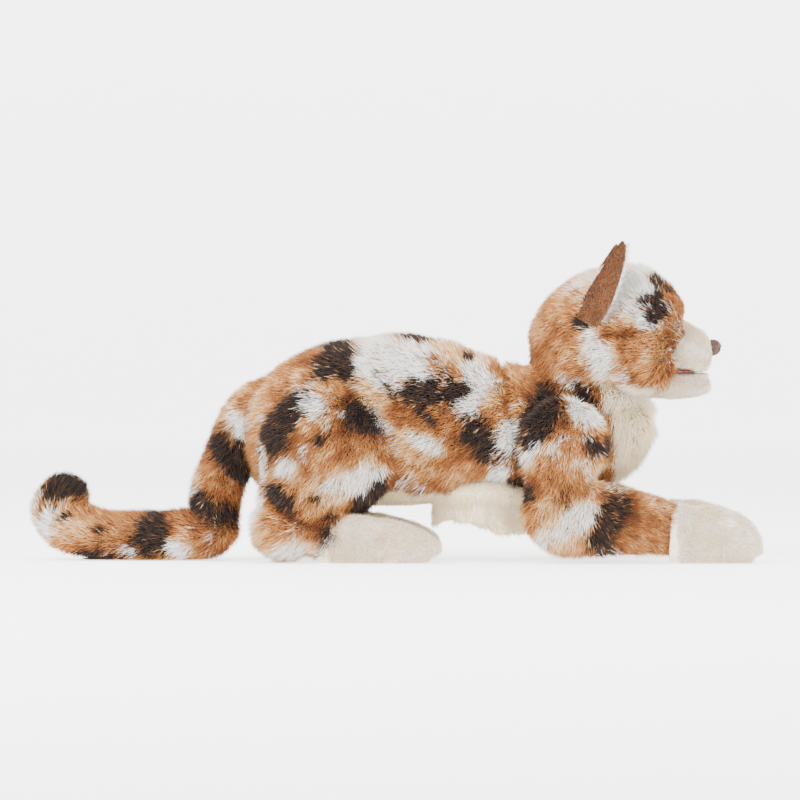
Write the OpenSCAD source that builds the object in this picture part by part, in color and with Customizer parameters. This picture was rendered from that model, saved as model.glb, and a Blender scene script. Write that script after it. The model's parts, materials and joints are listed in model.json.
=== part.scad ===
// Plush cat hand puppet, crouching on Z = 0 with its nose towards +X and its left side at +Y.
// Every soft piece is a sewn skin over stuffing, and one hollow runs from the belly to the mouth.

/* [Torso] */
// Length from the rump to the front of the chest
torso_len = 293; // [245:1:350]
// Depth of the barrel, from belly to back
torso_h = 130; // [108:1:156]
// Width of the barrel at its widest
torso_w = 112; // [94:1:134]
// Width of the chest between the forelegs
chest_w = 66; // [60:1:79]
// Height of the belly over the floor
belly_z = 40; // [34:1:48]
// Front of the chest, ahead of the origin
chest_x = 193; // [170:1:215]

/* [Sleeve] */
// Length of the hand opening under the belly
mouth_l = 58; // [50:1:70]
// Width of the hand opening
mouth_w = 52; // [44:1:54]
// Distance of the hand opening behind the chest front
mouth_back = 131; // [120:1:145]
// Length of slack sleeve that hangs below the belly
cuff_drop = 19; // [10:1:23]

/* [Haunches] */
// Length of the thigh, seen from the side
thigh_l = 110; // [92:1:130]
// Height of the thigh
thigh_h = 112; // [94:1:130]
// Thickness of the thigh
thigh_t = 54; // [45:1:64]
// Width across both haunches
haunch_w = 139; // [125:1:165]
// Length of the hind paw
foot_l = 74; // [62:1:89]
// Width of the hind paw
foot_w = 36; // [30:1:43]
// Height of the hind paw
foot_h = 33; // [28:1:39]

/* [Forelegs] */
// Diameter of the round shoulder
shoulder_d = 68; // [57:1:80]
// Thickness of the foreleg
leg_t = 32; // [27:1:38]
// Distance of the shoulder joint behind the chest front
shoulder_back = 67; // [56:1:76]
// Reach of the forearm and paw ahead of the shoulder joint
reach = 146.5; // [125:0.5:170]
// Length of the forepaw
paw_l = 66; // [55:1:79]
// Height of the forepaw
paw_h = 43; // [36:1:50]
// Width of the forepaw
paw_w = 39; // [33:1:46]

/* [Neck] */
// Diameter of the round neck joint
neck_d = 72; // [66:1:80]
// Bore of the neck for the hand
neck_bore = 50; // [42:1:54]
// Distance of the neck joint behind the chest front
neck_back = 57; // [50:1:66]
// Lean of the neck, forwards from upright
neck_lean = 13; // [8:1:16]

/* [Head] */
// Length of the skull without the muzzle
head_l = 122; // [102:1:146]
// Width of the skull
head_w = 100; // [84:1:120]
// Height of the skull
head_h = 98; // [84:1:117]
// Length of the muzzle in front of the skull
muzzle_l = 22; // [18:1:27]
// Width of the muzzle
muzzle_w = 54; // [45:1:64]
// Height of the muzzle above the mouth
muzzle_h = 31; // [26:1:37]
// Depth of the lower jaw below the mouth
jaw_h = 18; // [15:1:20]
// Width of the lower jaw
jaw_w = 46; // [38:1:50]

/* [Face] */
// Diameter of an eye
eye_d = 17; // [14:0.5:20]
// Distance between the eyes
eye_gap = 44; // [38:1:52]
// Width of the moulded nose
nose_w = 17; // [14:0.5:20]
// Diameter of the shanks behind the eyes and nose
shank_d = 3.2; // [2.6:0.1:4]
// Height of an ear above the skull's side
ear_h = 64; // [54:1:77]
// Width of an ear at its widest
ear_w = 38; // [32:1:45]
// Distance between the ears
ear_gap = 78; // [65:1:88]
// Length of the longest whisker
whisker_l = 46; // [38:1:55]

/* [Tail] */
// Diameter of the tail
tail_d = 37; // [31:1:42]
// Height of the tail's root over the floor
tail_root_z = 110; // [100:1:120]
// Distance that the tail leans back between its root and its kink
tail_lean = 26; // [22:1:34]
// Length of the tail that lies on the floor
tail_run = 121; // [100:1:145]
// Height of the upturned tip's centre
tip_z = 50; // [42:1:58]
// Shift of the tip towards the cat's left
tip_side = 10; // [6:1:14]

/* [Fabric and fits] */
// Thickness of a fur skin with its backing
skin_t = 3; // [2.4:0.1:3.4]
// Thickness of lining cloth
lining_t = 1.2; // [0.8:0.1:1.5]
// Gap between pieces that move past each other
clear = 0.6; // [0.4:0.1:1]

/* [Motion] */
// How far the nose dips
nod_down = 12; // [8:1:14]
// How far the jaw opens
jaw_open = 22; // [15:1:26]
// How far the tail swings to each side
tail_swing = 25; // [15:1:28]

/* [Hidden] */

facets = 16;        // sides of a soft form
round_facets = 32;  // sides of the surfaces that slide on each other
slice = 0.02;       // thickness of a section between two stretches of a form
big = 600;          // larger than the whole toy
rump_x = chest_x - torso_len;

// Shares of the length, then of the depth (low, high) and of the width, from the rump forwards
barrel = [[0, 0.27, 0.6, 0.38], [0.05, 0.1, 0.77, 0.64], [0.14, 0, 0.91, 0.86], [0.26, -0.03, 0.985, 0.97],
          [0.39, 0, 1, 1], [0.51, 0.03, 0.94, 0.93], [0.58, 0.045, 0.86, 0.78]];
chest = [[0.64, 0.05, 0.79, 1], [0.72, 0.05, 0.775, 1], [0.81, 0.07, 0.75, 1], [0.9, 0.13, 0.67, 0.95],
         [0.97, 0.26, 0.59, 0.74], [1, 0.35, 0.54, 0.44]];
skull = [[0, 0.28, 0.56, 0.4], [0.06, 0.14, 0.69, 0.64], [0.16, 0.06, 0.81, 0.84], [0.3, 0.01, 0.91, 0.96],
         [0.45, 0, 0.97, 1], [0.62, 0, 1, 0.98], [0.78, 0.04, 0.96, 0.88], [0.9, 0.11, 0.86, 0.72],
         [0.97, 0.2, 0.75, 0.52], [1, 0.3, 0.66, 0.34]];

function station(r, x, len, z, h, w) = [x + len * r[0], z + h * r[1], z + h * r[2], w * r[3]];
torso_rows = concat([for (r = barrel) station(r, rump_x, torso_len, belly_z, torso_h, torso_w)],
                    [for (r = chest) station(r, rump_x, torso_len, belly_z, torso_h, chest_w)]);

// Neck joint, and the shoulder that clears it
neck_r = neck_d / 2;
neck = [chest_x - neck_back, 0, belly_z + 0.754 * torso_h];
leg_in = chest_w / 2 + clear;
shoulder_r = shoulder_d / 2;
shoulder_gap = 3;
neck_side = sqrt(max(0, pow(neck_r + clear, 2) - pow(leg_in, 2)));
shoulder = [chest_x - shoulder_back, leg_in + leg_t / 2, neck[2] - neck_side - shoulder_gap - shoulder_r];

// Skull, placed on the neck joint
head_fwd = 22;
head_low = 16;
head_x = neck[0] + head_fwd - head_l / 2;
head_z = neck[2] - head_low;
head_rows = [for (r = skull) station(r, head_x, head_l, head_z, head_h, head_w)];
skull_front = head_x + head_l;
nape_r = head_l / 2 - head_fwd + 7;

// Jaw hinge, in front of the neck joint, and the mouth that runs forwards from it
jaw_r = jaw_h - 3;
throat = 6;
mouth_z = neck[2] + 4;
jaw = [neck[0] + neck_r + clear + throat + jaw_r, 0, mouth_z];
muzzle_x = skull_front + muzzle_l;
jaw_front = muzzle_x - 6;
jaw_nose_r = jaw_h / 2;

// Hand passage: centre and half sizes, from the sleeve up to the neck
mouth_x = chest_x - mouth_back;
cuff_top = belly_z + 16;
bore_r = neck_bore / 2;
hand = [[[mouth_x, 0, -10], [mouth_l, mouth_w, 20] / 2],
        [[mouth_x + 4, 0, belly_z + 0.25 * torso_h], [mouth_l - 2, mouth_w, mouth_w] / 2],
        [[(mouth_x + neck[0]) / 2, 0, belly_z + 0.48 * torso_h], [mouth_l - 6, mouth_w, neck_bore + 8] / 2],
        [neck, [bore_r, bore_r, bore_r]]];

// Tail joints
tail_r = tail_d / 2;
tail_root = [rump_x - 8, 0, tail_root_z];
tail_kink = [tail_root[0] - tail_lean, 0, tail_r];
kink_top = tail_d + 6;
tail_mid = [tail_kink[0] + 4, 0, 0.55 * tail_root_z];

// Thigh
thigh = [rump_x + 52, (haunch_w - thigh_t) / 2, thigh_h / 2 + 27];
foot_y = haunch_w / 2 - foot_w / 2 - 4;
heel_x = thigh[0] - 36;
foot_x = thigh[0] + 14;

// An ellipsoid with centre c and half sizes s
module lobe(c, s, fn = facets) translate(c) scale(s) sphere(1, $fn = fn);

// One upright oval section of a form, drawn in by inset
module oval(s, inset)
    translate([s[0], 0, (s[1] + s[2]) / 2]) rotate([0, 90, 0]) linear_extrude(slice, center = true)
        scale([max((s[2] - s[1]) / 2 - inset, 1), max(s[3] / 2 - inset, 1)]) circle(1, $fn = facets);

// A soft form through all its sections, with both ends drawn in too
module form(rows, inset) {
    last = len(rows) - 1;
    drawn = [for (i = [0:last]) [rows[i][0] + (i == 0 ? inset : i == last ? -inset : 0),
                                 rows[i][1], rows[i][2], rows[i][3]]];
    for (i = [0:last - 1]) hull() {
        oval(drawn[i], inset);
        oval(drawn[i + 1], inset);
    }
}

// A limb through lobes [centre, half sizes], drawn in by inset
module limb(lobes, inset)
    for (i = [0:len(lobes) - 2]) hull() for (k = [i, i + 1])
        lobe(lobes[k][0], [for (v = lobes[k][1]) max(v - inset, 1)], 12);

// Everything below height z
module below(z) translate([-big, -big, z - 2 * big]) cube(2 * big);

// Everything above height z
module above(z) translate([-big, -big, z]) cube(2 * big);

// Room for the neck's ball, with its flats outside the clearance
module neck_room() translate(neck) sphere((neck_r + clear) / cos(180 / round_facets), $fn = round_facets);

// Where the head sweeps, above the torso
module head_room() {
    translate([neck[0], 0, neck[2] - 3]) cylinder(r = nape_r, h = big, $fn = round_facets);
    translate(neck) rotate([0, neck_lean + nod_down + 2, 0]) translate([0, -big / 2, -1]) cube(big);
    neck_room();
}

// Where the tail hangs and swings behind the rump
module tail_room() for (side = [1, -1]) hull() for (turn = [0, side * tail_swing])
    translate(tail_root) rotate([0, 0, turn]) {
        sphere(tail_r + 2 * clear, $fn = facets);
        translate(tail_mid - tail_root) sphere(tail_r + 2 * clear, $fn = facets);
    }

module torso_cuts() {
    head_room();
    tail_room();
    passage(lining_t);
}

module passage(grow) limb(hand, -grow);

// The belly cloth is the part of the skin that faces the floor
module belly_zone() hull() {
    translate([rump_x + 60, -0.36 * torso_w, 0]) cube([1, 0.72 * torso_w, belly_z + 6]);
    translate([chest_x - 60, -0.42 * chest_w, 0]) cube([1, 0.84 * chest_w, belly_z + 26]);
    translate([chest_x, -0.42 * chest_w, 0]) cube([1, 0.84 * chest_w, belly_z + 0.62 * torso_h]);
}

module torso_shell() difference() {
    form(torso_rows, 0);
    form(torso_rows, skin_t);
    torso_cuts();
}

module torso_skin() color("peru") difference() {
    torso_shell();
    belly_zone();
}

module belly_panel() color("wheat") intersection() {
    torso_shell();
    belly_zone();
}

module torso_stuffing() color("whitesmoke") difference() {
    form(torso_rows, skin_t);
    torso_cuts();
}

module sleeve_wall() difference() {
    passage(lining_t);
    passage(0);
}

module sleeve_lining() color("ivory") difference() {
    sleeve_wall();
    below(cuff_top);
    neck_room();
    head_room();
}

module sleeve_cuff() color("blanchedalmond") difference() {
    sleeve_wall();
    above(cuff_top);
    below(belly_z - cuff_drop);
}

// Thigh, shin and foot as one form
module hind_form(inset) difference() {
    union() {
        lobe(thigh, [thigh_l, thigh_t, thigh_h] / 2 - [inset, inset, inset]);
        limb([[[heel_x, foot_y, 27], [27, foot_w / 2 + 2, 28]],
              [[foot_x - 14, foot_y, foot_h / 2 + 2], [20, foot_w / 2, foot_h / 2 + 3]],
              [[foot_x + foot_l - 40, foot_y, foot_h / 2 - 1], [24, foot_w / 2, foot_h / 2 + 1]],
              [[foot_x + foot_l - 30, foot_y, foot_h / 2 - 3], [20, foot_w / 2 - 1, foot_h / 2]]], inset);
    }
    below(inset);
}

module hind_shell() difference() {
    hind_form(0);
    hind_form(skin_t);
    form(torso_rows, 0);
}

module foot_zone() translate([foot_x - 28, 0, -1]) cube([big, big, foot_h + 6]);

// side is 1 on the cat's left and -1 on its right
module on_side(side) scale([1, side, 1]) children();

module haunch_skin(side) color("sandybrown") on_side(side) difference() {
    hind_shell();
    foot_zone();
}

module haunch_stuffing(side) color("whitesmoke") on_side(side) difference() {
    hind_form(skin_t);
    form(torso_rows, 0);
}

module hind_paw(side) color("cornsilk") on_side(side) intersection() {
    hind_shell();
    foot_zone();
}

// Bore through the neck, in line with its lean
module neck_bore_form(r) translate(neck) rotate([0, neck_lean, 0])
    cylinder(r = r, h = 4 * neck_r, center = true, $fn = round_facets);

module neck_skin() color("peru") difference() {
    translate(neck) sphere(neck_r, $fn = round_facets);
    neck_bore_form(bore_r + lining_t);
}

module neck_lining() color("ivory") intersection() {
    difference() {
        neck_bore_form(bore_r + lining_t);
        neck_bore_form(bore_r);
    }
    translate(neck) sphere(neck_r, $fn = round_facets);
}

// Room for the jaw in the head, closed behind by the round of its hinge
module jaw_room(gap) {
    translate(jaw) rotate([90, 0, 0])
        cylinder(r = jaw_r + gap, h = jaw_w + 2 * gap, center = true, $fn = round_facets);
    translate([jaw[0], -head_w, mouth_z - big]) cube([big, 2 * head_w, big + gap]);
}

module muzzle_form(inset) difference() {
    lobe([skull_front - 6, 0, mouth_z + 0.42 * muzzle_h],
         [muzzle_l + 4 - inset, muzzle_w / 2 - inset, 0.58 * muzzle_h - inset], 24);
    below(mouth_z + lining_t + clear);
}

// Everything of the head below its tilted underside
module under_head() translate(neck) rotate([0, neck_lean, 0]) translate([-big / 2, -big / 2, -big]) cube(big);

module head_cuts() {
    under_head();
    jaw_room(clear + lining_t);
    neck_room();
    pocket(lining_t);
    thumb_way();
    eye_rooms();
    ear_slots();
}

// Fingers reach forwards over the mouth, and the thumb into the jaw
fingers = [[neck, [bore_r, bore_r, bore_r]],
           [neck + [22, 0, 20], [bore_r - 3, bore_r, 17]],
           [[jaw[0] - 8, 0, mouth_z + 17], [16, muzzle_w / 2 - 4, 13]],
           [[skull_front - 16, 0, mouth_z + 15], [12, muzzle_w / 2 - 8, 10]]];
thumb_r = jaw_h / 2 - 3;
thumb = [jaw[0], 0, mouth_z - thumb_r - 2.4];

module pocket(grow) difference() {
    limb(fingers, -grow);
    below(mouth_z + lining_t + clear + skin_t - grow);
}

// Open way for the thumb, from the neck into the jaw
module thumb_way() translate([neck[0], 0, thumb[2]]) rotate([0, 90, 0])
    cylinder(r = thumb_r, h = jaw[0] - neck[0], $fn = 24);

// Eyes look forwards and a little outwards
eye_z = head_z + 0.6 * head_h;
eye_x = head_x + 0.9 * head_l;
eye_turn = 22;
module at_eye(side) translate([eye_x, side * eye_gap / 2, eye_z]) rotate([0, 0, side * eye_turn]) rotate([0, 90, 0])
    children();
shank_l = 17;
washer_d = 13;
washer_t = 1.6;
washer_x = -11;

module at_nose() translate([muzzle_x - 4, 0, mouth_z + 0.58 * muzzle_h]) rotate([0, 90, 0]) children();

// Room for a ball on its shank, and for the washer that bears on the cloth from behind
module shank_room(d) {
    sphere(d = (d + clear) / pow(cos(180 / facets), 2), $fn = facets);
    translate([0, 0, washer_x - clear]) cylinder(d = washer_d + 2 * clear, h = washer_t + clear, $fn = 16);
    translate([0, 0, -shank_l - 1]) cylinder(d = shank_d + 2 * clear, h = shank_l + 1, $fn = 16);
}

module eye_rooms() for (side = [1, -1]) at_eye(side) shank_room(eye_d);

module head_skin() color("sandybrown") difference() {
    form(head_rows, 0);
    form(head_rows, skin_t);
    muzzle_form(0);
    head_cuts();
}

// The head is stuffed in two halves, one on each side of the hand
module head_stuffing(side) color("whitesmoke") difference() {
    union() {
        form(head_rows, skin_t);
        muzzle_form(skin_t);
    }
    head_cuts();
    at_nose() shank_room(nose_w);
    on_side(side) translate([-big / 2, -big, -big / 2]) cube(big);
}

module muzzle_skin() color("antiquewhite") difference() {
    muzzle_form(0);
    muzzle_form(skin_t);
    form(head_rows, skin_t);
    jaw_room(clear + lining_t);
    at_nose() shank_room(nose_w);
    eye_rooms();
}

module hand_pocket() color("ivory") difference() {
    pocket(lining_t);
    pocket(0);
    neck_room();
}

// Outline of the mouth lining, from the hinge to the lips
module mouth_outline() hull() {
    translate([jaw[0] + 2, -jaw_w / 2 + 3]) square([1, jaw_w - 6]);
    translate([jaw_front - 14, 0]) circle(r = 12, $fn = 32);
}

module mouth_lining_upper() color("rosybrown") translate([0, 0, mouth_z + clear / 2])
    linear_extrude(lining_t) mouth_outline();

// Ears stand on the skull's sides, leaning out, and each has a velour back and a fluffy front
ear_t = 2.5;
ear_arc = (pow(ear_h / 2, 2) + pow(ear_w / 2, 2)) / ear_w;
ear_sink = 8;
module at_ear(side) translate([head_x + 0.4 * head_l, side * ear_gap / 2, head_z + 0.57 * head_h])
    on_side(side) rotate([-8, 22, 0]) rotate([0, 0, -18]) children();

module ear_leaf(back, thick) translate([back, 0, ear_h / 2]) rotate([0, 90, 0]) linear_extrude(thick)
    intersection_for(turn = [1, -1])
        translate([0, turn * (ear_arc - ear_w / 2)]) circle(r = ear_arc, $fn = 64);

module ear_slots() for (side = [1, -1]) at_ear(side) ear_leaf(-ear_t, 2 * ear_t);

module ear_piece(side, back) at_ear(side) difference() {
    ear_leaf(back, ear_t);
    below(ear_sink);
}

module eye(side) color("black") at_eye(side) {
    sphere(d = eye_d, $fn = 32);
    translate([0, 0, -shank_l]) cylinder(d = shank_d, h = shank_l, $fn = 24);
}

module washer() translate([0, 0, washer_x]) difference() {
    cylinder(d = washer_d, h = washer_t, $fn = 32);
    translate([0, 0, -1]) cylinder(d = shank_d, h = washer_t + 2, $fn = 32);
}

module nose() color("saddlebrown") at_nose() {
    sphere(d = nose_w, $fn = 32);
    translate([0, 0, -shank_l]) cylinder(d = shank_d, h = shank_l, $fn = 24);
}

// Four whiskers fan out of each side of the muzzle
whisker_d = 0.9;
module whiskers(side) color("white") for (i = [0:3])
    translate([skull_front - 2, side * (muzzle_w / 2 - 7), mouth_z + 11 + 3 * i])
        rotate([0, 0, side * (66 + 12 * i)]) rotate([0, 84 - 6 * i, 0])
            cylinder(d = whisker_d, h = whisker_l - 4 * i, $fn = 16);

module jaw_form(inset) difference() {
    hull() {
        translate(jaw) rotate([90, 0, 0])
            cylinder(r = jaw_r - inset, h = jaw_w - 2 * inset, center = true, $fn = round_facets);
        lobe([jaw_front - 11, 0, mouth_z - jaw_nose_r - 1],
             [11 - inset, jaw_w / 2 - 5 - inset, jaw_nose_r - inset], 24);
    }
    above(mouth_z - clear / 2 - lining_t - inset / 2);
    translate(jaw) rotate([0, -jaw_open, 0]) translate([-big, -big / 2, -clear - lining_t]) cube([big, big, big]);
}

module thumb_form(grow) hull() for (x = [jaw[0] - jaw_r, jaw_front - 20])
    translate([x, 0, thumb[2] - 1]) rotate([0, 90, 0]) scale([1, 1.5, 1])
        cylinder(r = thumb_r - 1.4 + grow, h = 4 + grow, $fn = 24);

module jaw_skin() color("antiquewhite") difference() {
    jaw_form(0);
    thumb_form(lining_t);
}

module thumb_pocket() color("ivory") intersection() {
    difference() {
        thumb_form(lining_t);
        thumb_form(0);
    }
    jaw_form(0);
}

module mouth_lining_lower() color("rosybrown") translate([0, 0, mouth_z - clear / 2 - lining_t])
    linear_extrude(lining_t) mouth_outline();

// Foreleg: shoulder, elbow, forearm and wrist
paw_x = shoulder[0] + reach - paw_l;
leg_half = leg_t / 2;
leg_lobes = [[shoulder, [shoulder_r, leg_half, shoulder_r]],
             [[shoulder[0] - 6, shoulder[1], 33], [27, leg_half, 34]],
             [[(shoulder[0] + paw_x) / 2 - 4, shoulder[1], 26], [26, leg_half, 27]],
             [[paw_x + 2, shoulder[1], paw_h / 2], [14, leg_half, paw_h / 2 + 1]]];
paw_lobes = [[[paw_x + 12, shoulder[1], paw_h / 2 - 1], [17, paw_w / 2 - 1, paw_h / 2 + 1]],
             [[paw_x + paw_l - 32, shoulder[1], paw_h / 2 - 3], [22, paw_w / 2, paw_h / 2]],
             [[paw_x + paw_l - 19, shoulder[1], paw_h / 2 - 6], [19, paw_w / 2 - 1, paw_h / 2 - 2]]];

// Leg and paw as one form, flat where it lies on the floor and beside the chest
module fore_form(inset) difference() {
    union() {
        limb(leg_lobes, inset);
        limb(paw_lobes, inset);
    }
    below(inset);
    translate([0, leg_in + inset - big, 0]) cube([big, big, big]);
}

module fore_shell() difference() {
    fore_form(0);
    fore_form(skin_t);
}

module paw_zone() translate([paw_x + 4, -big / 2, -big / 2]) cube(big);

module foreleg_skin(side) color("burlywood") on_side(side) difference() {
    fore_shell();
    paw_zone();
}

module foreleg_stuffing(side) color("whitesmoke") on_side(side) fore_form(skin_t);

module forepaw(side) color("cornsilk") on_side(side) intersection() {
    fore_shell();
    paw_zone();
}

// Tail: the base hangs from the rump down to the kink, and the end lies behind it
module tail_base_form(inset) difference() {
    union() {
        hull() for (at = [tail_root, tail_mid]) translate(at) sphere(tail_r - inset, $fn = facets);
        hull() {
            translate(tail_mid) sphere(tail_r - inset, $fn = facets);
            translate([tail_kink[0], 0, kink_top]) cylinder(r = tail_r - inset, h = 1, $fn = facets);
        }
    }
    below(kink_top + clear / 2);
}

tail_end_x = tail_kink[0] - tail_run;
tail_lobes = [[tail_kink, [tail_r, tail_r, tail_r]],
              [[tail_kink[0] - 0.6 * tail_run, 2, tail_r], [tail_r, tail_r, tail_r]],
              [[tail_end_x + 14, 0.6 * tip_side, tail_r + 2], [tail_r, tail_r, tail_r]],
              [[tail_end_x, tip_side, tip_z - 14], [tail_r - 1, tail_r - 1, tail_r - 2]],
              [[tail_end_x + 1, tip_side, tip_z], [tail_r - 4, tail_r - 4, tail_r - 4]]];

module tail_end_form(inset) {
    limb(tail_lobes, inset);
    hull() for (z = [tail_kink[2], kink_top - clear / 2 - 1])
        translate([tail_kink[0], 0, z]) cylinder(r = tail_r - inset, h = 1, $fn = facets);
}

module tail_base_skin() color("saddlebrown") difference() {
    tail_base_form(0);
    tail_base_form(skin_t);
}

module tail_end_skin() color("sienna") difference() {
    tail_end_form(0);
    tail_end_form(skin_t);
}

torso_skin();
belly_panel();
torso_stuffing();
sleeve_lining();
sleeve_cuff();
haunch_skin(1);  // haunch_skin_left
haunch_skin(-1);  // haunch_skin_right
haunch_stuffing(1);  // haunch_stuffing_left
haunch_stuffing(-1);  // haunch_stuffing_right
hind_paw(1);  // hind_paw_left
hind_paw(-1);  // hind_paw_right
neck_skin();
neck_lining();
head_skin();
head_stuffing(1);  // head_stuffing_left
head_stuffing(-1);  // head_stuffing_right
muzzle_skin();
hand_pocket();
mouth_lining_upper();
color("peru") ear_piece(1, -ear_t);  // ear_back_left
color("peru") ear_piece(-1, -ear_t);  // ear_back_right
color("white") ear_piece(1, 0);  // ear_front_left
color("white") ear_piece(-1, 0);  // ear_front_right
eye(1);  // eye_left
eye(-1);  // eye_right
color("gray") at_eye(1) washer();  // eye_washer_left
color("gray") at_eye(-1) washer();  // eye_washer_right
nose();
color("gray") at_nose() washer();  // nose_washer
whiskers(1);  // whiskers_left
whiskers(-1);  // whiskers_right
jaw_skin();
thumb_pocket();
mouth_lining_lower();
foreleg_skin(1);  // foreleg_skin_left
foreleg_skin(-1);  // foreleg_skin_right
foreleg_stuffing(1);  // foreleg_stuffing_left
foreleg_stuffing(-1);  // foreleg_stuffing_right
forepaw(1);  // forepaw_left
forepaw(-1);  // forepaw_right
tail_base_skin();
color("whitesmoke") tail_base_form(skin_t);  // tail_base_stuffing
tail_end_skin();
color("whitesmoke") tail_end_form(skin_t);  // tail_end_stuffing
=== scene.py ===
import json
import math

import bmesh
import bpy
import numpy as np
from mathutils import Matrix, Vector
from mathutils.kdtree import KDTree


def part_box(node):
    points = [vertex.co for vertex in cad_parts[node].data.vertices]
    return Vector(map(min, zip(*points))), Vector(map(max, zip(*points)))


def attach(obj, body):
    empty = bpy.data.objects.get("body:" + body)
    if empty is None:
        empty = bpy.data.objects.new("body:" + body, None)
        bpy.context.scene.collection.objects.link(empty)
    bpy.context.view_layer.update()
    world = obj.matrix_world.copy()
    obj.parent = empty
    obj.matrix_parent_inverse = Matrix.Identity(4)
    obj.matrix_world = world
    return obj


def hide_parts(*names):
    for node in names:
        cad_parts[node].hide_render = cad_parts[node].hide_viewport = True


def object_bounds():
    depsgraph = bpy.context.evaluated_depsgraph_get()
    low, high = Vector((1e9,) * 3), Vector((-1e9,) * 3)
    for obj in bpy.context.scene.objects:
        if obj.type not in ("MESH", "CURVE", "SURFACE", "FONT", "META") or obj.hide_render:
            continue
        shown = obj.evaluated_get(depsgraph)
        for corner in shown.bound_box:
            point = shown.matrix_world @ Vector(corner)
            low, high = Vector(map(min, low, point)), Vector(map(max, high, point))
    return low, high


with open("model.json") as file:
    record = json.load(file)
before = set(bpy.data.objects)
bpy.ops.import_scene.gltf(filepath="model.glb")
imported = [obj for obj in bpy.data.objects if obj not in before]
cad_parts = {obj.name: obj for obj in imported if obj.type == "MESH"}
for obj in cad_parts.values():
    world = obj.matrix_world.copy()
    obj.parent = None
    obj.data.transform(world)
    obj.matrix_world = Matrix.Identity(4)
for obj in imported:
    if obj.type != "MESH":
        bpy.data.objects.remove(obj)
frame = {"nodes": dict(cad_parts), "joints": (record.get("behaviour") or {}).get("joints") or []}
cadLow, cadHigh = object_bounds()
boxes = {name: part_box(name) for name in frame["nodes"]}
joints = {j["name"]: Vector(j["pos_m"]) for j in frame["joints"]}
sides = {"left": 1, "right": -1}
bodyLength = cadHigh.x - cadLow.x
bodyHeight = cadHigh.z - cadLow.z


def spot(node, u, v, w):  # a point by its shares of a frame piece's box
    low, high = boxes[node]
    return Vector([low[i] + s * (high[i] - low[i]) for i, s in enumerate((u, v, w))])


def rowsIn(node, rows, across=0.0, tall=1.0, wide=1.0):  # rows as shares of a piece's box: length, low, high, width
    low, high = boxes[node]
    size = high - low
    return [(low.x + u * size.x, across, low.z + a * size.z * tall, low.z + b * size.z * tall, w * size.y * wide)
            for u, a, b, w in rows]


# sockets as numbers, and one way to add any other node

class Wire:
    def __init__(self, bench, socket):
        self.bench, self.socket = bench, socket

    def math(self, operation, *others, clamp=False):
        return self.bench.node("ShaderNodeMath", {"operation": operation, "use_clamp": clamp},
                               dict(enumerate((self, *others))))

    def __add__(self, other): return self.math("ADD", other)
    def __sub__(self, other): return self.math("SUBTRACT", other)
    def __mul__(self, other): return self.math("MULTIPLY", other)
    def __gt__(self, other): return self.math("GREATER_THAN", other)
    def __rsub__(self, other): return (self * -1) + other
    __radd__, __rmul__ = __add__, __mul__


class Bench:
    def __init__(self, tree):
        self.tree = tree

    def node(self, kind, settings=None, values=None, out=0):
        made = self.tree.nodes.new(kind)
        for key, value in (settings or {}).items():
            if key == "stops":
                ramp = made.color_ramp.elements
                while len(ramp) < len(value):
                    ramp.new(0.5)
                for element, (place, colour) in zip(ramp, value):
                    element.position, element.color = place, (*colour, 1)
            else:
                setattr(made, key, value)
        for key, value in (values or {}).items():
            self.plug(made.inputs[key], value)
        return Wire(self, made.outputs[out])

    def plug(self, socket, value):
        if isinstance(value, Wire):
            self.tree.links.new(value.socket, socket)
        elif value is not None:
            socket.default_value = value

    def vector(self, operation, *parts, out=0):
        return self.node("ShaderNodeVectorMath", {"operation": operation}, dict(enumerate(parts)), out)

    def scaled(self, vector, factor):
        return self.node("ShaderNodeVectorMath", {"operation": "SCALE"}, {0: vector, 3: factor})

    def mix(self, factor, a, b, blend="MIX"):
        return self.node("ShaderNodeMix", {"data_type": "RGBA", "blend_type": blend}, {0: factor, 6: a, 7: b}, 2)


def paint(red, green, blue):  # screen colour, 0 to 255, to linear
    return tuple(c / 12.92 if c <= 0.04045 else ((c + 0.055) / 1.055) ** 2.4
                 for c in (red / 255, green / 255, blue / 255))


def finish(name, build, **constants):  # a material whose socket values are constants, and a build function for the rest
    made = bpy.data.materials.new(name)
    made.use_nodes = True
    bench = Bench(made.node_tree)
    shader = made.node_tree.nodes["Principled BSDF"]
    for key, value in constants.items():
        shader.inputs[key.replace("_", " ")].default_value = value
    if build:
        build(bench, shader)
    made.diffuse_color = shader.inputs["Base Color"].default_value
    return made


def objectCoords(bench):
    return bench.node("ShaderNodeTexCoord", out=3)


def grain(bench, coords, scale, detail=3.0, roughness=0.6):
    return bench.node("ShaderNodeTexNoise", {},
                      {"Vector": coords, "Scale": scale, "Detail": detail, "Roughness": roughness})


def tinted(bench, shader, stops, share):  # a surface colour that runs through the stops
    bench.plug(shader.inputs["Base Color"], bench.node("ShaderNodeValToRGB", {"stops": stops}, {0: share}))


def bumped(bench, shader, height, strength, distance):
    bench.plug(shader.inputs["Normal"],
               bench.node("ShaderNodeBump", {}, {"Strength": strength, "Distance": distance, "Height": height}))


# finishes

# one plain finish for each shade of pile; a strand takes one of them
shades = {
    "gingerDeep": (102, 58, 29), "gingerRust": (142, 84, 40), "gingerMid": (174, 111, 56),
    "gingerLight": (200, 144, 86), "gingerPale": (232, 198, 150),
    "whiteCool": (236, 240, 242), "whitePlain": (240, 239, 234), "whiteWarm": (232, 224, 210),
    "creamWarm": (232, 208, 164), "creamPale": (240, 224, 190), "creamPaw": (224, 206, 188),
    "creamLight": (244, 234, 222),
    "darkSoft": (84, 58, 42), "darkBrown": (42, 31, 26), "darkBlack": (20, 16, 15)}
pileFinishes = [finish("pile_" + name, None, Base_Color=(*paint(*rgb), 1), Roughness=0.78, Specular_IOR_Level=0.25)
                for name, rgb in shades.items()]


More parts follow.
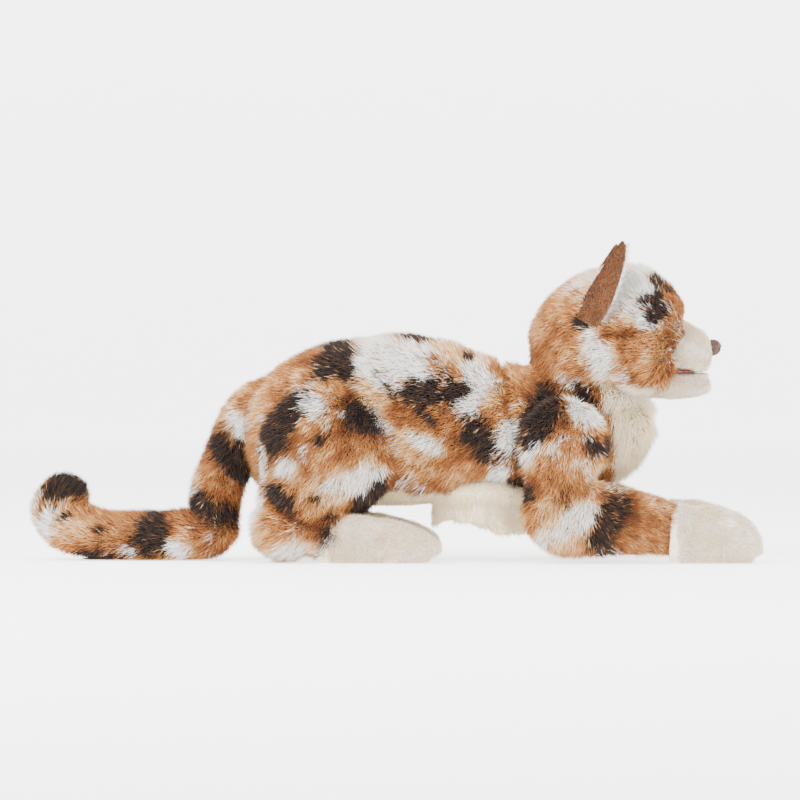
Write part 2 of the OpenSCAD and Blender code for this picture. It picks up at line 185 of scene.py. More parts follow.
def coatCloth(bench, shader):
    coat = bench.node("ShaderNodeAttribute", {"attribute_name": "coat"})
    coords = objectCoords(bench)
    fine = grain(bench, coords, 900, 3)
    tufts = grain(bench, bench.node("ShaderNodeMapping", {}, {0: coords, 3: (120, 420, 300)}), 1.0, 4, 0.7)
    # painted shade: the backing is darkened in streaky tufts, standing in for the shade deep between the strands
    paintedTuftShade = bench.node("ShaderNodeValToRGB", {"stops": [(0.3, (0.55, 0.5, 0.46)), (0.7, (1, 1, 1))]}, {0: tufts})
    bench.plug(shader.inputs["Base Color"], bench.mix(0.55, coat, paintedTuftShade, "MULTIPLY"))
    bumped(bench, shader, fine * 0.4 + tufts, 0.9, 0.0015)


def plushCloth(low, high, scale):
    def build(bench, shader):
        coords = objectCoords(bench)
        clumps = grain(bench, coords, scale, 4, 0.65)
        fine = grain(bench, coords, scale * 6, 2)
        tinted(bench, shader, [(0.32, low), (0.66, high)], clumps * 0.7 + fine * 0.3)
        bumped(bench, shader, clumps + fine * 0.6, 0.8, 0.0012)
    return build


def wovenCloth(low, high, pitch):  # threads over and under, with slubs
    def build(bench, shader):
        coords = objectCoords(bench)
        warp = bench.node("ShaderNodeTexWave", {"bands_direction": "DIAGONAL"},
                          {0: coords, "Scale": pitch, "Distortion": 1.5, "Detail": 2})
        weft = bench.node("ShaderNodeTexWave", {"bands_direction": "Z"},
                          {0: coords, "Scale": pitch, "Distortion": 1.5, "Detail": 2})
        slubs = grain(bench, coords, 90, 3)
        threads = warp * 0.5 + weft * 0.5
        tinted(bench, shader, [(0.2, low), (0.8, high)], threads * 0.5 + slubs * 0.5)
        bumped(bench, shader, threads + slubs * 0.5, 0.5, 0.0006)
    return build


def velourCloth(bench, shader):
    coords = objectCoords(bench)
    nap = grain(bench, coords, 1400, 2)
    strokes = grain(bench, coords, 130, 4, 0.7)
    tinted(bench, shader, [(0.3, paint(60, 36, 21)), (0.5, paint(88, 56, 33)), (0.72, paint(116, 78, 48))],
           strokes * 0.65 + nap * 0.35)
    bumped(bench, shader, nap + strokes * 0.5, 0.7, 0.0008)


def noseSkin(bench, shader):
    coords = objectCoords(bench)
    pores = bench.node("ShaderNodeTexVoronoi", {"feature": "F1"}, {"Vector": coords, "Scale": 900})
    wear = grain(bench, coords, 160, 3)
    tinted(bench, shader, [(0.3, paint(40, 24, 15)), (0.7, paint(68, 43, 28))], wear)
    bench.plug(shader.inputs["Roughness"], wear * 0.25 + 0.34)
    bumped(bench, shader, pores, 0.35, 0.0004)


def eyeGlass(bench, shader):  # dark pupil and rim, and a brown iris with fine rays
    gaze = bench.node("ShaderNodeAttribute", {"attribute_name": "gaze"}, out=2)
    rays = grain(bench, objectCoords(bench), 700, 4)
    tinted(bench, shader, [(0.0, paint(10, 8, 8)), (0.26, paint(12, 9, 8)), (0.31, paint(98, 62, 28)),
                           (0.46, paint(140, 92, 40)), (0.55, paint(46, 28, 18)),
                           (0.64, paint(14, 10, 9))], gaze + (rays - 0.5) * 0.05)
    bench.plug(shader.inputs["Roughness"], rays * 0.04 + 0.04)


def feltCloth(low, high):
    def build(bench, shader):
        coords = objectCoords(bench)
        fibres = grain(bench, bench.node("ShaderNodeMapping", {}, {0: coords, 3: (1, 2.2, 1)}), 600, 5, 0.75)
        tinted(bench, shader, [(0.35, low), (0.65, high)], fibres)
        bumped(bench, shader, fibres, 0.7, 0.0007)
    return build


def mouldedPlastic(low, high):
    def build(bench, shader):
        cloud = grain(bench, objectCoords(bench), 60, 2)
        flow = grain(bench, objectCoords(bench), 500, 3)
        tinted(bench, shader, [(0.3, low), (0.7, high)], cloud)
        bench.plug(shader.inputs["Roughness"], flow * 0.2 + 0.35)
        bumped(bench, shader, flow, 0.2, 0.0003)
    return build


coatFinish = finish("calico_backing", coatCloth, Roughness=0.9, Specular_IOR_Level=0.2)
shortFinish = finish("short_cream_plush", plushCloth(paint(206, 190, 172), paint(238, 226, 210), 260), Roughness=0.92,
                     Specular_IOR_Level=0.2)
clothFinish = finish("slack_cream_cloth", plushCloth(paint(218, 202, 170), paint(242, 230, 204), 340), Roughness=0.9,
                     Specular_IOR_Level=0.2)
liningFinish = finish("woven_lining", wovenCloth(paint(206, 194, 170), paint(232, 224, 204), 260), Roughness=0.9,
                      Specular_IOR_Level=0.2)
velourFinish = finish("brown_velour_nap", velourCloth, Roughness=0.85, Specular_IOR_Level=0.25)
noseFinish = finish("moulded_nose", noseSkin, Specular_IOR_Level=0.25)
eyeFinish = finish("glass_eye", eyeGlass, Coat_Roughness=0.05, Coat_Weight=0.08, Specular_IOR_Level=0.12)
feltFinish = finish("mouth_felt_fibres", feltCloth(paint(84, 42, 38), paint(122, 66, 58)), Roughness=0.95,
                    Specular_IOR_Level=0.15)
whiskerFinish = finish("whisker_nylon", mouldedPlastic(paint(204, 190, 166), paint(226, 216, 198)),
                       Specular_IOR_Level=0.5)
washerFinish = finish("washer_moulding", mouldedPlastic(paint(176, 176, 172), paint(204, 204, 200)),
                      Specular_IOR_Level=0.5)
print("finishes ready:", len(bpy.data.materials))


# making forms

def softNoise(points, size, seed=0):  # smooth values from 0 to 1, with features of that size
    scaled = points / size + 0.37 * seed
    corner = np.floor(scaled).astype(np.int64)
    part = scaled - corner
    part = part * part * (3 - 2 * part)
    total = np.zeros(len(points))
    for step in np.ndindex(2, 2, 2):
        cell = corner + step
        mixed = cell[:, 0] * 73856093 ^ cell[:, 1] * 19349663 ^ cell[:, 2] * 83492791
        mixed = (mixed ^ (seed + 1) * 40503) & 0xffffffff
        mixed = (mixed ^ (mixed >> 13)) * 1274126177 & 0xffffffff
        value = ((mixed ^ (mixed >> 16)) & 0xffff) / 65535
        total += value * np.prod(np.where(step, part, 1 - part), axis=1)
    return total


def eased(value):
    value = np.clip(value, 0, 1)
    return value * value * (3 - 2 * value)


def throughRows(rows, fine):  # a smooth curve through rows of numbers
    rows = np.array(rows, float)
    padded = np.vstack([2 * rows[0] - rows[1], rows, 2 * rows[-1] - rows[-2]])
    out = []
    for i in range(1, len(padded) - 2):
        a, b, c, d = padded[i - 1:i + 3]
        for t in np.arange(fine) / fine:
            out.append(0.5 * (2 * b + (c - a) * t + (2 * a - 5 * b + 4 * c - d) * t * t
                              + (3 * b - a - 3 * c + d) * t ** 3))
    return np.array(out + [rows[-1]])


def meshOf(name, verts, faces):
    mesh = bpy.data.meshes.new(name)
    mesh.from_pydata([tuple(v) for v in verts], [], faces)
    mesh.update()
    return mesh


def newThing(name, mesh):
    thing = bpy.data.objects.new(name, mesh)
    bpy.context.scene.collection.objects.link(thing)
    return thing


def ringed(name, rings):  # closed skin over rings of points, with a pole at each end
    count, sidesOf = len(rings), len(rings[0])
    verts = [p for ring in rings for p in ring] + [np.mean(rings[0], axis=0), np.mean(rings[-1], axis=0)]
    faces = [(i * sidesOf + k, i * sidesOf + (k + 1) % sidesOf, (i + 1) * sidesOf + (k + 1) % sidesOf,
              (i + 1) * sidesOf + k)
             for i in range(count - 1) for k in range(sidesOf)]
    first, last = len(verts) - 2, len(verts) - 1
    faces += [(first, (k + 1) % sidesOf, k) for k in range(sidesOf)]
    faces += [(last, (count - 1) * sidesOf + k, (count - 1) * sidesOf + (k + 1) % sidesOf) for k in range(sidesOf)]
    mesh = meshOf(name, verts, faces)
    work = bmesh.new()
    work.from_mesh(mesh)
    bmesh.ops.recalc_face_normals(work, faces=work.faces)
    work.to_mesh(mesh)
    work.free()
    return mesh


def loft(rows, inset=0.0, around=40, fine=4, fullness=2.2):  # rows along X: x, side, low, high, width
    rings = []
    line = throughRows(rows, fine)
    for i, (x, side, low, high, width) in enumerate(line):
        x += inset * (i == 0) - inset * (i == len(line) - 1)
        turn = np.linspace(0, 2 * math.pi, around, endpoint=False)
        c, s = np.cos(turn), np.sin(turn)
        tall, wide = max((high - low) / 2 - inset, 0.001), max(width / 2 - inset, 0.001)
        rings.append(np.stack([np.full(around, x), side + wide * np.sign(c) * np.abs(c) ** (2 / fullness),
                               (low + high) / 2 + tall * np.sign(s) * np.abs(s) ** (2 / fullness)], axis=1))
    return ringed("loft", rings)


def lump(centre, half, inset=0.0):  # a rounded lump
    work = bmesh.new()
    bmesh.ops.create_uvsphere(work, u_segments=32, v_segments=20, radius=1)
    for v in work.verts:
        v.co = Vector([c + k * (h - inset) for c, k, h in zip(centre, v.co, half)])
    mesh = bpy.data.meshes.new("lump")
    work.to_mesh(mesh)
    work.free()
    return mesh


def beads(path, inset=0.0, step=0.003):  # a bent tube as a run of lumps: x, y, z, radius
    line = throughRows(path, 12)
    out, gone = [], 1.0
    for a, b in zip(line[:-1], line[1:]):
        gone += np.linalg.norm(b[:3] - a[:3])
        if gone >= step:
            out.append(lump(a[:3], [a[3]] * 3, inset))
            gone = 0.0
    return out + [lump(line[-1][:3], [line[-1][3]] * 3, inset)]


def fused(name, parts, voxel=0.0026, rounds=5):  # one skin round all the parts
    work = bmesh.new()
    for part in parts:
        work.from_mesh(part)
    mesh = bpy.data.meshes.new(name)
    work.to_mesh(mesh)
    work.free()
    thing = newThing(name, mesh)
    melt = thing.modifiers.new("melt", "REMESH")
    melt.mode, melt.voxel_size, melt.use_smooth_shade = "VOXEL", voxel, True
    soften = thing.modifiers.new("soften", "SMOOTH")
    soften.factor, soften.iterations = 0.5, rounds
    return applied(thing)


def applied(thing):  # the evaluated mesh in place of the modifiers
    bpy.context.view_layer.update()
    result = bpy.data.meshes.new_from_object(thing.evaluated_get(bpy.context.evaluated_depsgraph_get()))
    thing.modifiers.clear()
    thing.data = result
    result.name = thing.name
    return thing


def pointsOf(mesh):
    co = np.zeros(len(mesh.vertices) * 3)
    mesh.vertices.foreach_get("co", co)
    return co.reshape(-1, 3)


def normalsOf(mesh):
    values = np.zeros(len(mesh.vertices) * 3)
    mesh.vertices.foreach_get("normal", values)
    return values.reshape(-1, 3)


def movePoints(mesh, points):
    mesh.vertices.foreach_set("co", points.ravel())
    mesh.update()


def setValues(mesh, name, values, kind="FLOAT"):
    layer = mesh.attributes.get(name) or mesh.attributes.new(name, kind, "POINT")
    layer.data.foreach_set({"FLOAT": "value", "FLOAT_VECTOR": "vector", "FLOAT_COLOR": "color"}[kind],
                           np.asarray(values, np.float32).ravel())


def getValues(mesh, name, size=1):
    layer = mesh.attributes[name]
    values = np.zeros(len(mesh.vertices) * size, np.float32)
    layer.data.foreach_get("value" if size == 1 else "vector" if size == 3 else "color", values)
    return values if size == 1 else values.reshape(-1, size)


filling = {"voxel": 0.0055, "pressure": 4.0, "frames": 20, "cap": 0.0028, "startSmaller": 0.0014, "nearest": 4,
           "blur": 0.0005}


def filled(skin):  # the skin swells as stuffing presses on it from inside
    pad = copyOf("stuffing_press", skin)
    melt = pad.modifiers.new("melt", "REMESH")
    melt.mode, melt.voxel_size = "VOXEL", filling["voxel"]
    applied(pad)
    start = pointsOf(pad.data)
    cloth = pad.modifiers.new("press", "CLOTH")
    cloth.settings.use_pressure, cloth.settings.uniform_pressure_force = True, filling["pressure"]
    cloth.settings.effector_weights.gravity = 0
    cloth.point_cache.frame_start, cloth.point_cache.frame_end = 1, filling["frames"]
    for number in range(1, filling["frames"] + 1):
        bpy.context.scene.frame_set(number)
    applied(pad)
    moved = pointsOf(pad.data) - start
    bpy.data.objects.remove(pad)
    bpy.context.scene.frame_set(1)
    length = np.linalg.norm(moved, axis=1)
    moved *= np.minimum(1, filling["cap"] / np.maximum(length, 1e-9))[:, None]
    tree = KDTree(len(start))
    for i, p in enumerate(start):
        tree.insert(p, i)
    tree.balance()
    points, outward = pointsOf(skin.data), normalsOf(skin.data)
    swell = np.zeros_like(points)
    for i, p in enumerate(points):
        near = tree.find_n(p, filling["nearest"])
        share = np.array([1 / (d + filling["blur"]) for _, _, d in near])
        swell[i] = (moved[[k for _, k, _ in near]] * share[:, None]).sum(0) / share.sum()
    movePoints(skin.data, points + swell - outward * filling["startSmaller"])
    print("filled", skin.name, "by up to", round(float(np.linalg.norm(swell, axis=1).max()) * 1000, 2), "mm")
    return skin


rest = {"coat": 0.0016, "paw": 0.0008}  # where the skins under the pile come down to


def uneven(skin, size, seed, reach, floor=None, sunk=0.0):  # small bumps and sunk creases, none of it under the floor
    points, outward = pointsOf(skin.data), normalsOf(skin.data)
    points += outward * ((softNoise(points, size, seed) - 0.5) * reach - sunk)[:, None]
    if floor is not None:
        points[:, 2] = np.maximum(points[:, 2], floor)
    movePoints(skin.data, points)
    return points


# the way for the hand: centre and reach across, from the sleeve's hem up into the neck
cuffLow, cuffHigh = boxes["sleeve_cuff"]
cuffMid, cuffReach = (cuffLow.x + cuffHigh.x) / 2, (cuffHigh.x - cuffLow.x) / 2
neckAt = joints["neck_turn"]
handWay = [(cuffMid - 0.002, 0, cuffLow.z - 0.01, cuffReach), (cuffMid, 0, cuffHigh.z, cuffReach - 0.001),
           (cuffMid + 0.010, 0, cuffHigh.z + 0.022, cuffHigh.y),
           ((cuffHigh.x + neckAt.x) / 2 - 0.010, 0, cuffHigh.z + 0.048, cuffHigh.y),
           (neckAt.x - 0.002, 0, neckAt.z - 0.024, cuffHigh.y * 0.94),
           (neckAt.x + 0.004, 0, neckAt.z + 0.012, cuffHigh.y * 0.92)]


def outOfHandWay(points, spare=0.001):
    near = np.full(len(points), 1e9)
    line = throughRows(handWay, 4)
    for a, b in zip(line[:-1], line[1:]):
        along = b[:3] - a[:3]
        t = np.clip((points - a[:3]) @ along / (along @ along), 0, 1)
        away = np.linalg.norm(points - (a[:3] + t[:, None] * along), axis=1)
        near = np.minimum(near, away - (a[3] + t * (b[3] - a[3])))
    return near > spare


# the coat's pattern
# each patch: share along the toy, share of its height, half length and half height in millimetres, tilt in degrees

darkPatches = {
    "tail": [(.028, .225, 18, 14, 20), (.0975, .012, 21, 6, 0), (.17, .088, 13, 20, -18), (.273, .03, 8, 5, 0),
             (.253, .17, 22, 11, -22), (.279, .328, 27, 13, -52), (.097, .091, 5, 3, 0), (.048, .1325, 6, 3, 30)],
    "body": [(.422, .618, 20, 13, 48), (.54, .70, 19, 6, -8), (.499, .543, 12, 3.5, -55), (.558, .536, 22, 17, 20),
             (.553, .46, 9, 5, -60), (.607, .628, 6, 4, -20), (.628, .385, 21, 12, -55), (.706, .47, 27, 12, 66),
             (.765, .527, 17, 6, -52), (.673, .233, 12, 10, 40)],
    "thigh": [(.353, .45, 33, 13, 68), (.46, .464, 15, 12, -38), (.346, .218, 15, 9, -50), (.468, .205, 19, 9, 45),
              (.413, .076, 15, 8, 88), (.393, .211, 5, 3, 0), (.4, .392, 5, 3, 0)],
    "leg": [(.706, .47, 27, 12, 66), (.673, .233, 13, 10, 40), (.7926, .12, 27, 11, 72), (.77, .37, 6, 6, 0),
            (.7315, .227, 4, 4, 0), (.79, .37, 9, 3, 90)],
    "head": [(.8626, .8076, 12, 12, 30), (.864, .874, 6, 4, -30), (.805, .88, 5, 4, 60), (.762, .7476, 6, 5, 0),
             (.682, .685, 8, 5, 80)]}
whitePatches = {
    "tail": [(.022, .117, 15, 9, 60), (.291, .432, 11, 7, -60), (.205, .04, 10, 6, 0)],
    "body": [(.507, .6215, 38, 19, -14), (.387, .498, 14, 11, 40), (.485, .4385, 16, 6, -60),
             (.6126, .5426, 20, 11, 80), (.66, .385, 20, 10, 62), (.544, .385, 12, 5, -20), (.757, .475, 12, 8, -40),
             (.6456, .265, 14, 9, 60), (.69, .37, 14, 8, 60), (.30, .49, 12, 7, 50)],
    "thigh": [(.387, .498, 14, 11, 40), (.441, .265, 22, 9, 15), (.317, .2587, 30, 6, 85), (.355, .31, 8, 6, 60),
              (.37, .05, 14, 6, 10)],
    "leg": [(.69, .37, 12, 7, 62), (.757, .475, 12, 8, -40), (.7335, .120, 20, 9, 35), (.7926, .268, 13, 7, -30)],
    "head": [(.82, .858, 25, 17, -28), (.784, .6625, 17, 9, -62), (.85, .755, 10, 5, -20), (.79, .80, 12, 12, 60)]}


def patchWeight(points, patches, shift, soft):  # each point's share in a patch, and its nearness to the patch's edge
    best, fringe = np.zeros(len(points)), np.zeros(len(points))
    rough = (softNoise(points, 0.013, 3 + shift) - 0.5) * 1.3 + (softNoise(points, 0.0055, 5 + shift) - 0.5) * 0.9
    for side in (-1, 1):
        across = np.maximum(points[:, 1] * -side + 0.006, 0) / 0.016
        for i, (u, w, a, b, tilt) in enumerate(patches):
            if side == 1:  # the far side has the same marks, moved and turned a little
                u, w = u + 0.018 * math.sin(2.4 * i + 1), w + 0.03 * math.cos(1.7 * i)
                tilt = tilt * (0.6 if i % 2 else -0.8)
            dx, dz = points[:, 0] - (cadLow.x + u * bodyLength), points[:, 2] - (cadLow.z + w * bodyHeight)
            c, s = math.cos(math.radians(tilt)), math.sin(math.radians(tilt))
            far = np.sqrt(((dx * c + dz * s) / (a / 1000)) ** 2 + ((dz * c - dx * s) / (b / 1000)) ** 2 + across ** 2)
            best = np.maximum(best, np.clip((1.0 - far - rough * 0.62) / soft + 0.5, 0, 1))
            fringe = np.maximum(fringe, eased((1.75 - far - rough * 0.4) / 0.6))
    return best, fringe * (1 - best)


def markCoat(mesh, region, cream, lay, pile, tone=None, lift=1.0):
    points = pointsOf(mesh)
    zero = np.zeros(len(points))
    dark, darkEdge = patchWeight(points, darkPatches.get(region, []), 0, 0.5)
    white, whiteEdge = patchWeight(points, whitePatches.get(region, []), 7, 0.75)
    if tone is None:
        tone = 0.50 * softNoise(points, 0.016, 11) + 0.4 * softNoise(points, 0.006, 12)
        tone = tone + 0.3 * softNoise(points, 0.003, 13) - 0.12
        tone += 0.36 * whiteEdge - 0.24 * darkEdge
        marbled = softNoise(points, 0.026, 21) * 0.55 + softNoise(points, 0.008, 22) * 0.45
        white = np.maximum(white * (0.60 + 0.48 * softNoise(points, 0.006, 23)), eased((marbled - 0.58) / 0.2) * 0.45)
        speckled = softNoise(points, 0.014, 31) * 0.5 + softNoise(points, 0.006, 32) * 0.5
        dark = np.maximum(dark * (0.74 + 0.38 * softNoise(points, 0.005, 24)), eased((speckled - 0.72) / 0.1) * 0.5)
    cream = np.clip(zero + cream, 0, 1)
    dark, white = dark * (1 - cream), white * (1 - cream)
    palette = np.array([paint(*rgb) for rgb in shades.values()])
    ginger = palette[0] + (palette[4] - palette[0]) * np.clip(tone, 0, 1)[:, None]
    creamy = palette[8] + (palette[11] - palette[8]) * np.clip(tone, 0, 1)[:, None]
    colour = ginger * (1 - cream[:, None]) + creamy * cream[:, None]
    colour += (palette[6] - colour) * white[:, None]
    colour += (palette[13] - colour) * dark[:, None]
    setValues(mesh, "coat", np.hstack([colour * 0.8, np.ones((len(points), 1))]), "FLOAT_COLOR")
    for name, values in (("dark", dark), ("white", white), ("cream", cream), ("tone", tone), ("pile", pile),
                         ("lift", lift)):
        setValues(mesh, name, zero + values)
    setValues(mesh, "comb", lay if len(np.shape(lay)) == 2 else np.tile(lay, (len(points), 1)), "FLOAT_VECTOR")


# pile: strands spread over a skin

def spike():  # four faces: a thin root and a tip
    turn = [0, 2 * math.pi / 3, 4 * math.pi / 3]
    mesh = meshOf("spike", [(math.cos(t), math.sin(t), -0.05) for t in turn] + [(0, 0, 1)], [(0, 2, 1), (0, 1, 3),
                                                                                             (1, 2, 3), (2, 0, 3)])
    return bpy.data.objects.new("spike", mesh)


strand = spike()
pileSettings = {"Density": 1.27e6, "Width": 0.00036, "Lift": 0.86, "Clump": 0.46, "Stray": 0.34, "Seed": 4}


def pileTree():
    tree = bpy.data.node_groups.new("pile", "GeometryNodeTree")
    tree.interface.new_socket("Geometry", in_out="INPUT", socket_type="NodeSocketGeometry")
    sockets = {"Strand": "NodeSocketObject", **{key: "NodeSocketFloat" for key in pileSettings},
               "Seed": "NodeSocketInt"}
    for key, kind in sockets.items():
        tree.interface.new_socket(key, in_out="INPUT", socket_type=kind)
    tree.interface.new_socket("Geometry", in_out="OUTPUT", socket_type="NodeSocketGeometry")
    bench = Bench(tree)
    given = tree.nodes.new("NodeGroupInput")
    value = {s.name: Wire(bench, s) for s in given.outputs if s.name}

    def named(key, kind="FLOAT"):
        return bench.node("GeometryNodeInputNamedAttribute", {"data_type": kind}, {0: key})

    def chance(low, high, offset):
        return bench.node("FunctionNodeRandomValue", {"data_type": "FLOAT"},
                          {2: low, 3: high, 8: value["Seed"] + offset}, 1)

    spread = bench.node("GeometryNodeDistributePointsOnFaces", {"distribute_method": "RANDOM"},
                        {0: value["Geometry"], "Density": value["Density"], "Seed": value["Seed"]})
    normal = Wire(bench, spread.socket.node.outputs["Normal"])
    comb = named("comb", "FLOAT_VECTOR")
    outOfSkin = bench.scaled(normal, bench.vector("DOT_PRODUCT", comb, normal, out=1))
    flat = bench.vector("NORMALIZE", bench.vector("SUBTRACT", comb, outOfSkin))
    place = bench.node("GeometryNodeInputPosition")

    def drift(scale):
        noise = bench.node("ShaderNodeTexNoise", {}, {"Vector": place, "Scale": scale, "Detail": 1.0}, 1)
        return bench.vector("SUBTRACT", noise, (0.5, 0.5, 0.5))

    waves, clumps = drift(55.0), drift(240.0)
    stray = bench.node("FunctionNodeRandomValue", {"data_type": "FLOAT_VECTOR"},
                       {0: (-1, -1, -1), 1: (1, 1, 1), 8: value["Seed"] + 5})
    way = bench.vector("ADD", flat, bench.scaled(normal, value["Lift"] * named("lift")))
    way = bench.vector("ADD", way, bench.scaled(waves, value["Clump"] * 2.6))
    way = bench.vector("ADD", way, bench.scaled(clumps, value["Clump"] * 2.2))
    way = bench.vector("ADD", way, bench.scaled(stray, value["Stray"]))
    turn = bench.node("FunctionNodeAlignRotationToVector", {"axis": "Z"}, {"Vector": way})
    length = named("pile") * chance(0.72, 1.12, 6)
    size = bench.node("ShaderNodeCombineXYZ", {}, {0: value["Width"], 1: value["Width"], 2: length})
    tone = named("tone") + (chance(0.0, 1.0, 1) - 0.5) * 0.6
    ginger = (tone * 5.0).math("FLOOR").math("MAXIMUM", 0.0).math("MINIMUM", 4.0)
    cream = (tone * 4.0 + 8.0).math("FLOOR").math("MAXIMUM", 8.0).math("MINIMUM", 11.0)
    pick = ginger + (named("cream") > chance(0.2, 0.8, 2)) * (cream - ginger)
    white = (chance(5.0, 7.99, 7)).math("FLOOR")
    pick = pick + (named("white") > chance(0.12, 0.88, 3)) * (white - pick)
    darkest = (chance(12.55, 14.99, 8)).math("FLOOR")
    pick = pick + (named("dark") > chance(0.12, 0.88, 4)) * (darkest - pick)
    stored = bench.node("GeometryNodeStoreNamedAttribute", {"data_type": "FLOAT", "domain": "POINT"},
                        {0: spread, "Name": "shade", "Value": pick})
    shape = bench.node("GeometryNodeObjectInfo", {}, {"Object": value["Strand"]}, 4)
    planted = bench.node("GeometryNodeInstanceOnPoints", {},
                         {0: stored, "Instance": shape, "Rotation": turn, "Scale": size})
    real = bench.node("GeometryNodeRealizeInstances", {}, {0: planted})
    split = bench.node("ShaderNodeSeparateXYZ", {}, {0: bench.node("GeometryNodeInputPosition")})
    parts = [Wire(bench, s) for s in split.socket.node.outputs]
    grounded = bench.node("ShaderNodeCombineXYZ", {}, {0: parts[0], 1: parts[1], 2: parts[2].math("MAXIMUM", 0.0003)})
    real = bench.node("GeometryNodeSetPosition", {}, {0: real, 2: grounded})
    shade = named("shade")
    for i, finishOf in enumerate(pileFinishes):
        near = (shade > i - 0.5) * (1 - (shade > i + 0.5))
        real = bench.node("GeometryNodeSetMaterial", {}, {0: real, 1: near > 0.5, 2: finishOf})
    tree.nodes.new("NodeGroupOutput")
    bench.plug(next(n for n in tree.nodes if n.bl_idname == "NodeGroupOutput").inputs[0], real)
    return tree


growing = pileTree()
grown = {}


def onlyKept(mesh, keep):  # leaves the faces whose points are all kept
    work = bmesh.new()
    work.from_mesh(mesh)
    work.verts.ensure_lookup_table()
    bmesh.ops.delete(work, geom=[f for f in work.faces if not all(keep[v.index] for v in f.verts)], context="FACES")
    work.to_mesh(mesh)
    work.free()


def copyOf(name, thing):
    return newThing(name, thing.data.copy())


def grow(name, skin, keep=None, **changes):  # a piece of pile on the faces of skin whose points are kept
    thing = copyOf(name, skin)
    if keep is not None:
        onlyKept(thing.data, keep)
    plant = thing.modifiers.new("pile", "NODES")
    plant.node_group = growing
    wanted = {**pileSettings, **changes, "Strand": strand}
    for item in growing.interface.items_tree:
        if item.in_out == "INPUT" and item.name in wanted:
            plant[item.identifier] = wanted[item.name]
    thing = applied(thing)
    for layer in [a.name for a in thing.data.attributes
                  if a.name in ("shade", "dark", "white", "cream", "tone", "pile", "lift", "comb", "coat")]:
        thing.data.attributes.remove(thing.data.attributes[layer])
    grown[name] = len(thing.data.polygons)
    return thing


def cutAway(thing, keep, wall):  # what is kept, as cloth of that thickness
    onlyKept(thing.data, keep)
    thick = thing.modifiers.new("wall", "SOLIDIFY")
    thick.thickness, thick.offset = wall, -1
    return applied(thing)


def onlyMaterial(thing, material):
    thing.data.materials.clear()
    thing.data.materials.append(material)


def dress(thing, material, body, nodes=()):
    onlyMaterial(thing, material)
    return join(thing, body, nodes)


def join(thing, body, nodes=()):
    thing.data.shade_smooth()
    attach(thing, body)
    if nodes:
        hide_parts(*nodes)
    return thing


def flattened(mesh, floor=rest["coat"]):  # soft parts lie flat where they rest
    points = pointsOf(mesh)
    low = points[:, 2] < floor + 0.004
    points[low, 2] = floor + (points[low, 2] - floor) * 0.15
    points[:, 2] = np.maximum(points[:, 2], floor)
    movePoints(mesh, points)


# torso

torso = {"inset": 0.0048, "pile": 0.0095, "belly": 0.0032, "wall": 0.0016, "fullness": 2.35, "seam": 0.0034,
         "slack": 0.0022,
         "bellyStrands": {"Density": 1.5e6, "Width": 0.00026, "Clump": 0.3, "Stray": 0.35},
         "rows": [(-.041, .37, .60, .34), (-.014, .19, .70, .58), (.027, .10, .79, .75), (.085, .052, .885, .875),
                  (.171, .03, .962, .965), (.273, .015, 1.0, 1.0), (.382, .02, 1.01, 1.0), (.478, .04, .975, .965),
                  (.563, .075, .905, .90), (.648, .085, .845, .85), (.734, .08, .82, .80), (.819, .085, .80, .74),
                  (.887, .125, .765, .66), (.942, .21, .72, .58), (.983, .33, .67, .49), (1.008, .45, .60, .32)]}
backBox, bellyBox = boxes["torso_skin"], boxes["belly_panel"]
boxes["torso"] = (Vector((backBox[0].x, backBox[0].y, bellyBox[0].z)),
                  Vector((bellyBox[1].x, backBox[1].y, backBox[1].z)))
low, high = boxes["torso"]
body = loft(rowsIn("torso", torso["rows"]), torso["inset"], fullness=torso["fullness"])
skin = filled(fused("torso_coat", [body], rounds=6))
points, outward = pointsOf(skin.data), normalsOf(skin.data)
wobble = (softNoise(points, 0.03, 40) - 0.5) * 0.0022 + (softNoise(points, 0.012, 41) - 0.5) * 0.001
# where the shoulder panel is sewn on
seamX = spot("foreleg_skin_right", -0.10, 0, 0).x + (high.z - 0.02 - points[:, 2]) * 0.16
seam = np.exp(-((points[:, 0] - seamX) / 0.0035) ** 2) * (points[:, 2] > 0.05)
# the belly cloth hangs a little
slack = eased((low.z + 0.024 - points[:, 2]) / 0.008) * eased((points[:, 0] - low.x - 0.06) / 0.03)
points += outward * (wobble - torso["seam"] * seam + torso["slack"] * slack)[:, None]
movePoints(skin.data, points)
ragged = (softNoise(points, 0.012, 42) - 0.5) * 0.006
underside = eased((low.z + 0.022 - points[:, 2] + ragged) / 0.008) * (points[:, 0] > low.x + 0.05)
beyond = points[:, 0] - (neckAt.x + 0.022) + (neckAt.z - 0.02 - points[:, 2]) * -0.1
chest = eased(beyond / 0.008) * eased((high.z - 0.030 - points[:, 2]) / 0.012)
cream = np.maximum(underside, chest)
lay = np.stack([0 * cream - 1, 0 * cream, -0.45 - 0.35 * (points[:, 0] > neckAt.x)], axis=1)
lay[chest > 0.5] = (-0.35, 0, -1)
short = underside * (1 - chest)
markCoat(skin.data, "body", cream, lay, torso["pile"] * (1 - short) + torso["belly"] * short + 0.0015 * chest)
tone = getValues(skin.data, "tone")
# the strands' tone is paler towards the top of the back, and darker along the sunk shoulder seam as painted shade
backToneWithSeamShade = tone + 0.16 * eased((points[:, 2] - high.z + 0.02) / 0.02) - 0.4 * seam
setValues(skin.data, "tone", np.where(cream > 0.5, tone * 0.55, backToneWithSeamShade))
free = outOfHandWay(points)
isBelly = short > 0.5
along = points[:, 0]
middle, fore = low.x + 0.42 * (high.x - low.x), low.x + 0.66 * (high.x - low.x)
lengths = {"rump": along < middle, "flank": (along >= middle) & (along < fore), "chest": along >= fore}


def grownZone(mask):  # one ring wider, so that zones meet
    edges = np.zeros(len(skin.data.edges) * 2, np.int64)
    skin.data.edges.foreach_get("vertices", edges)
    a, b = edges.reshape(-1, 2).T
    out = mask.copy()
    out[a[mask[b]]] = True
    return out


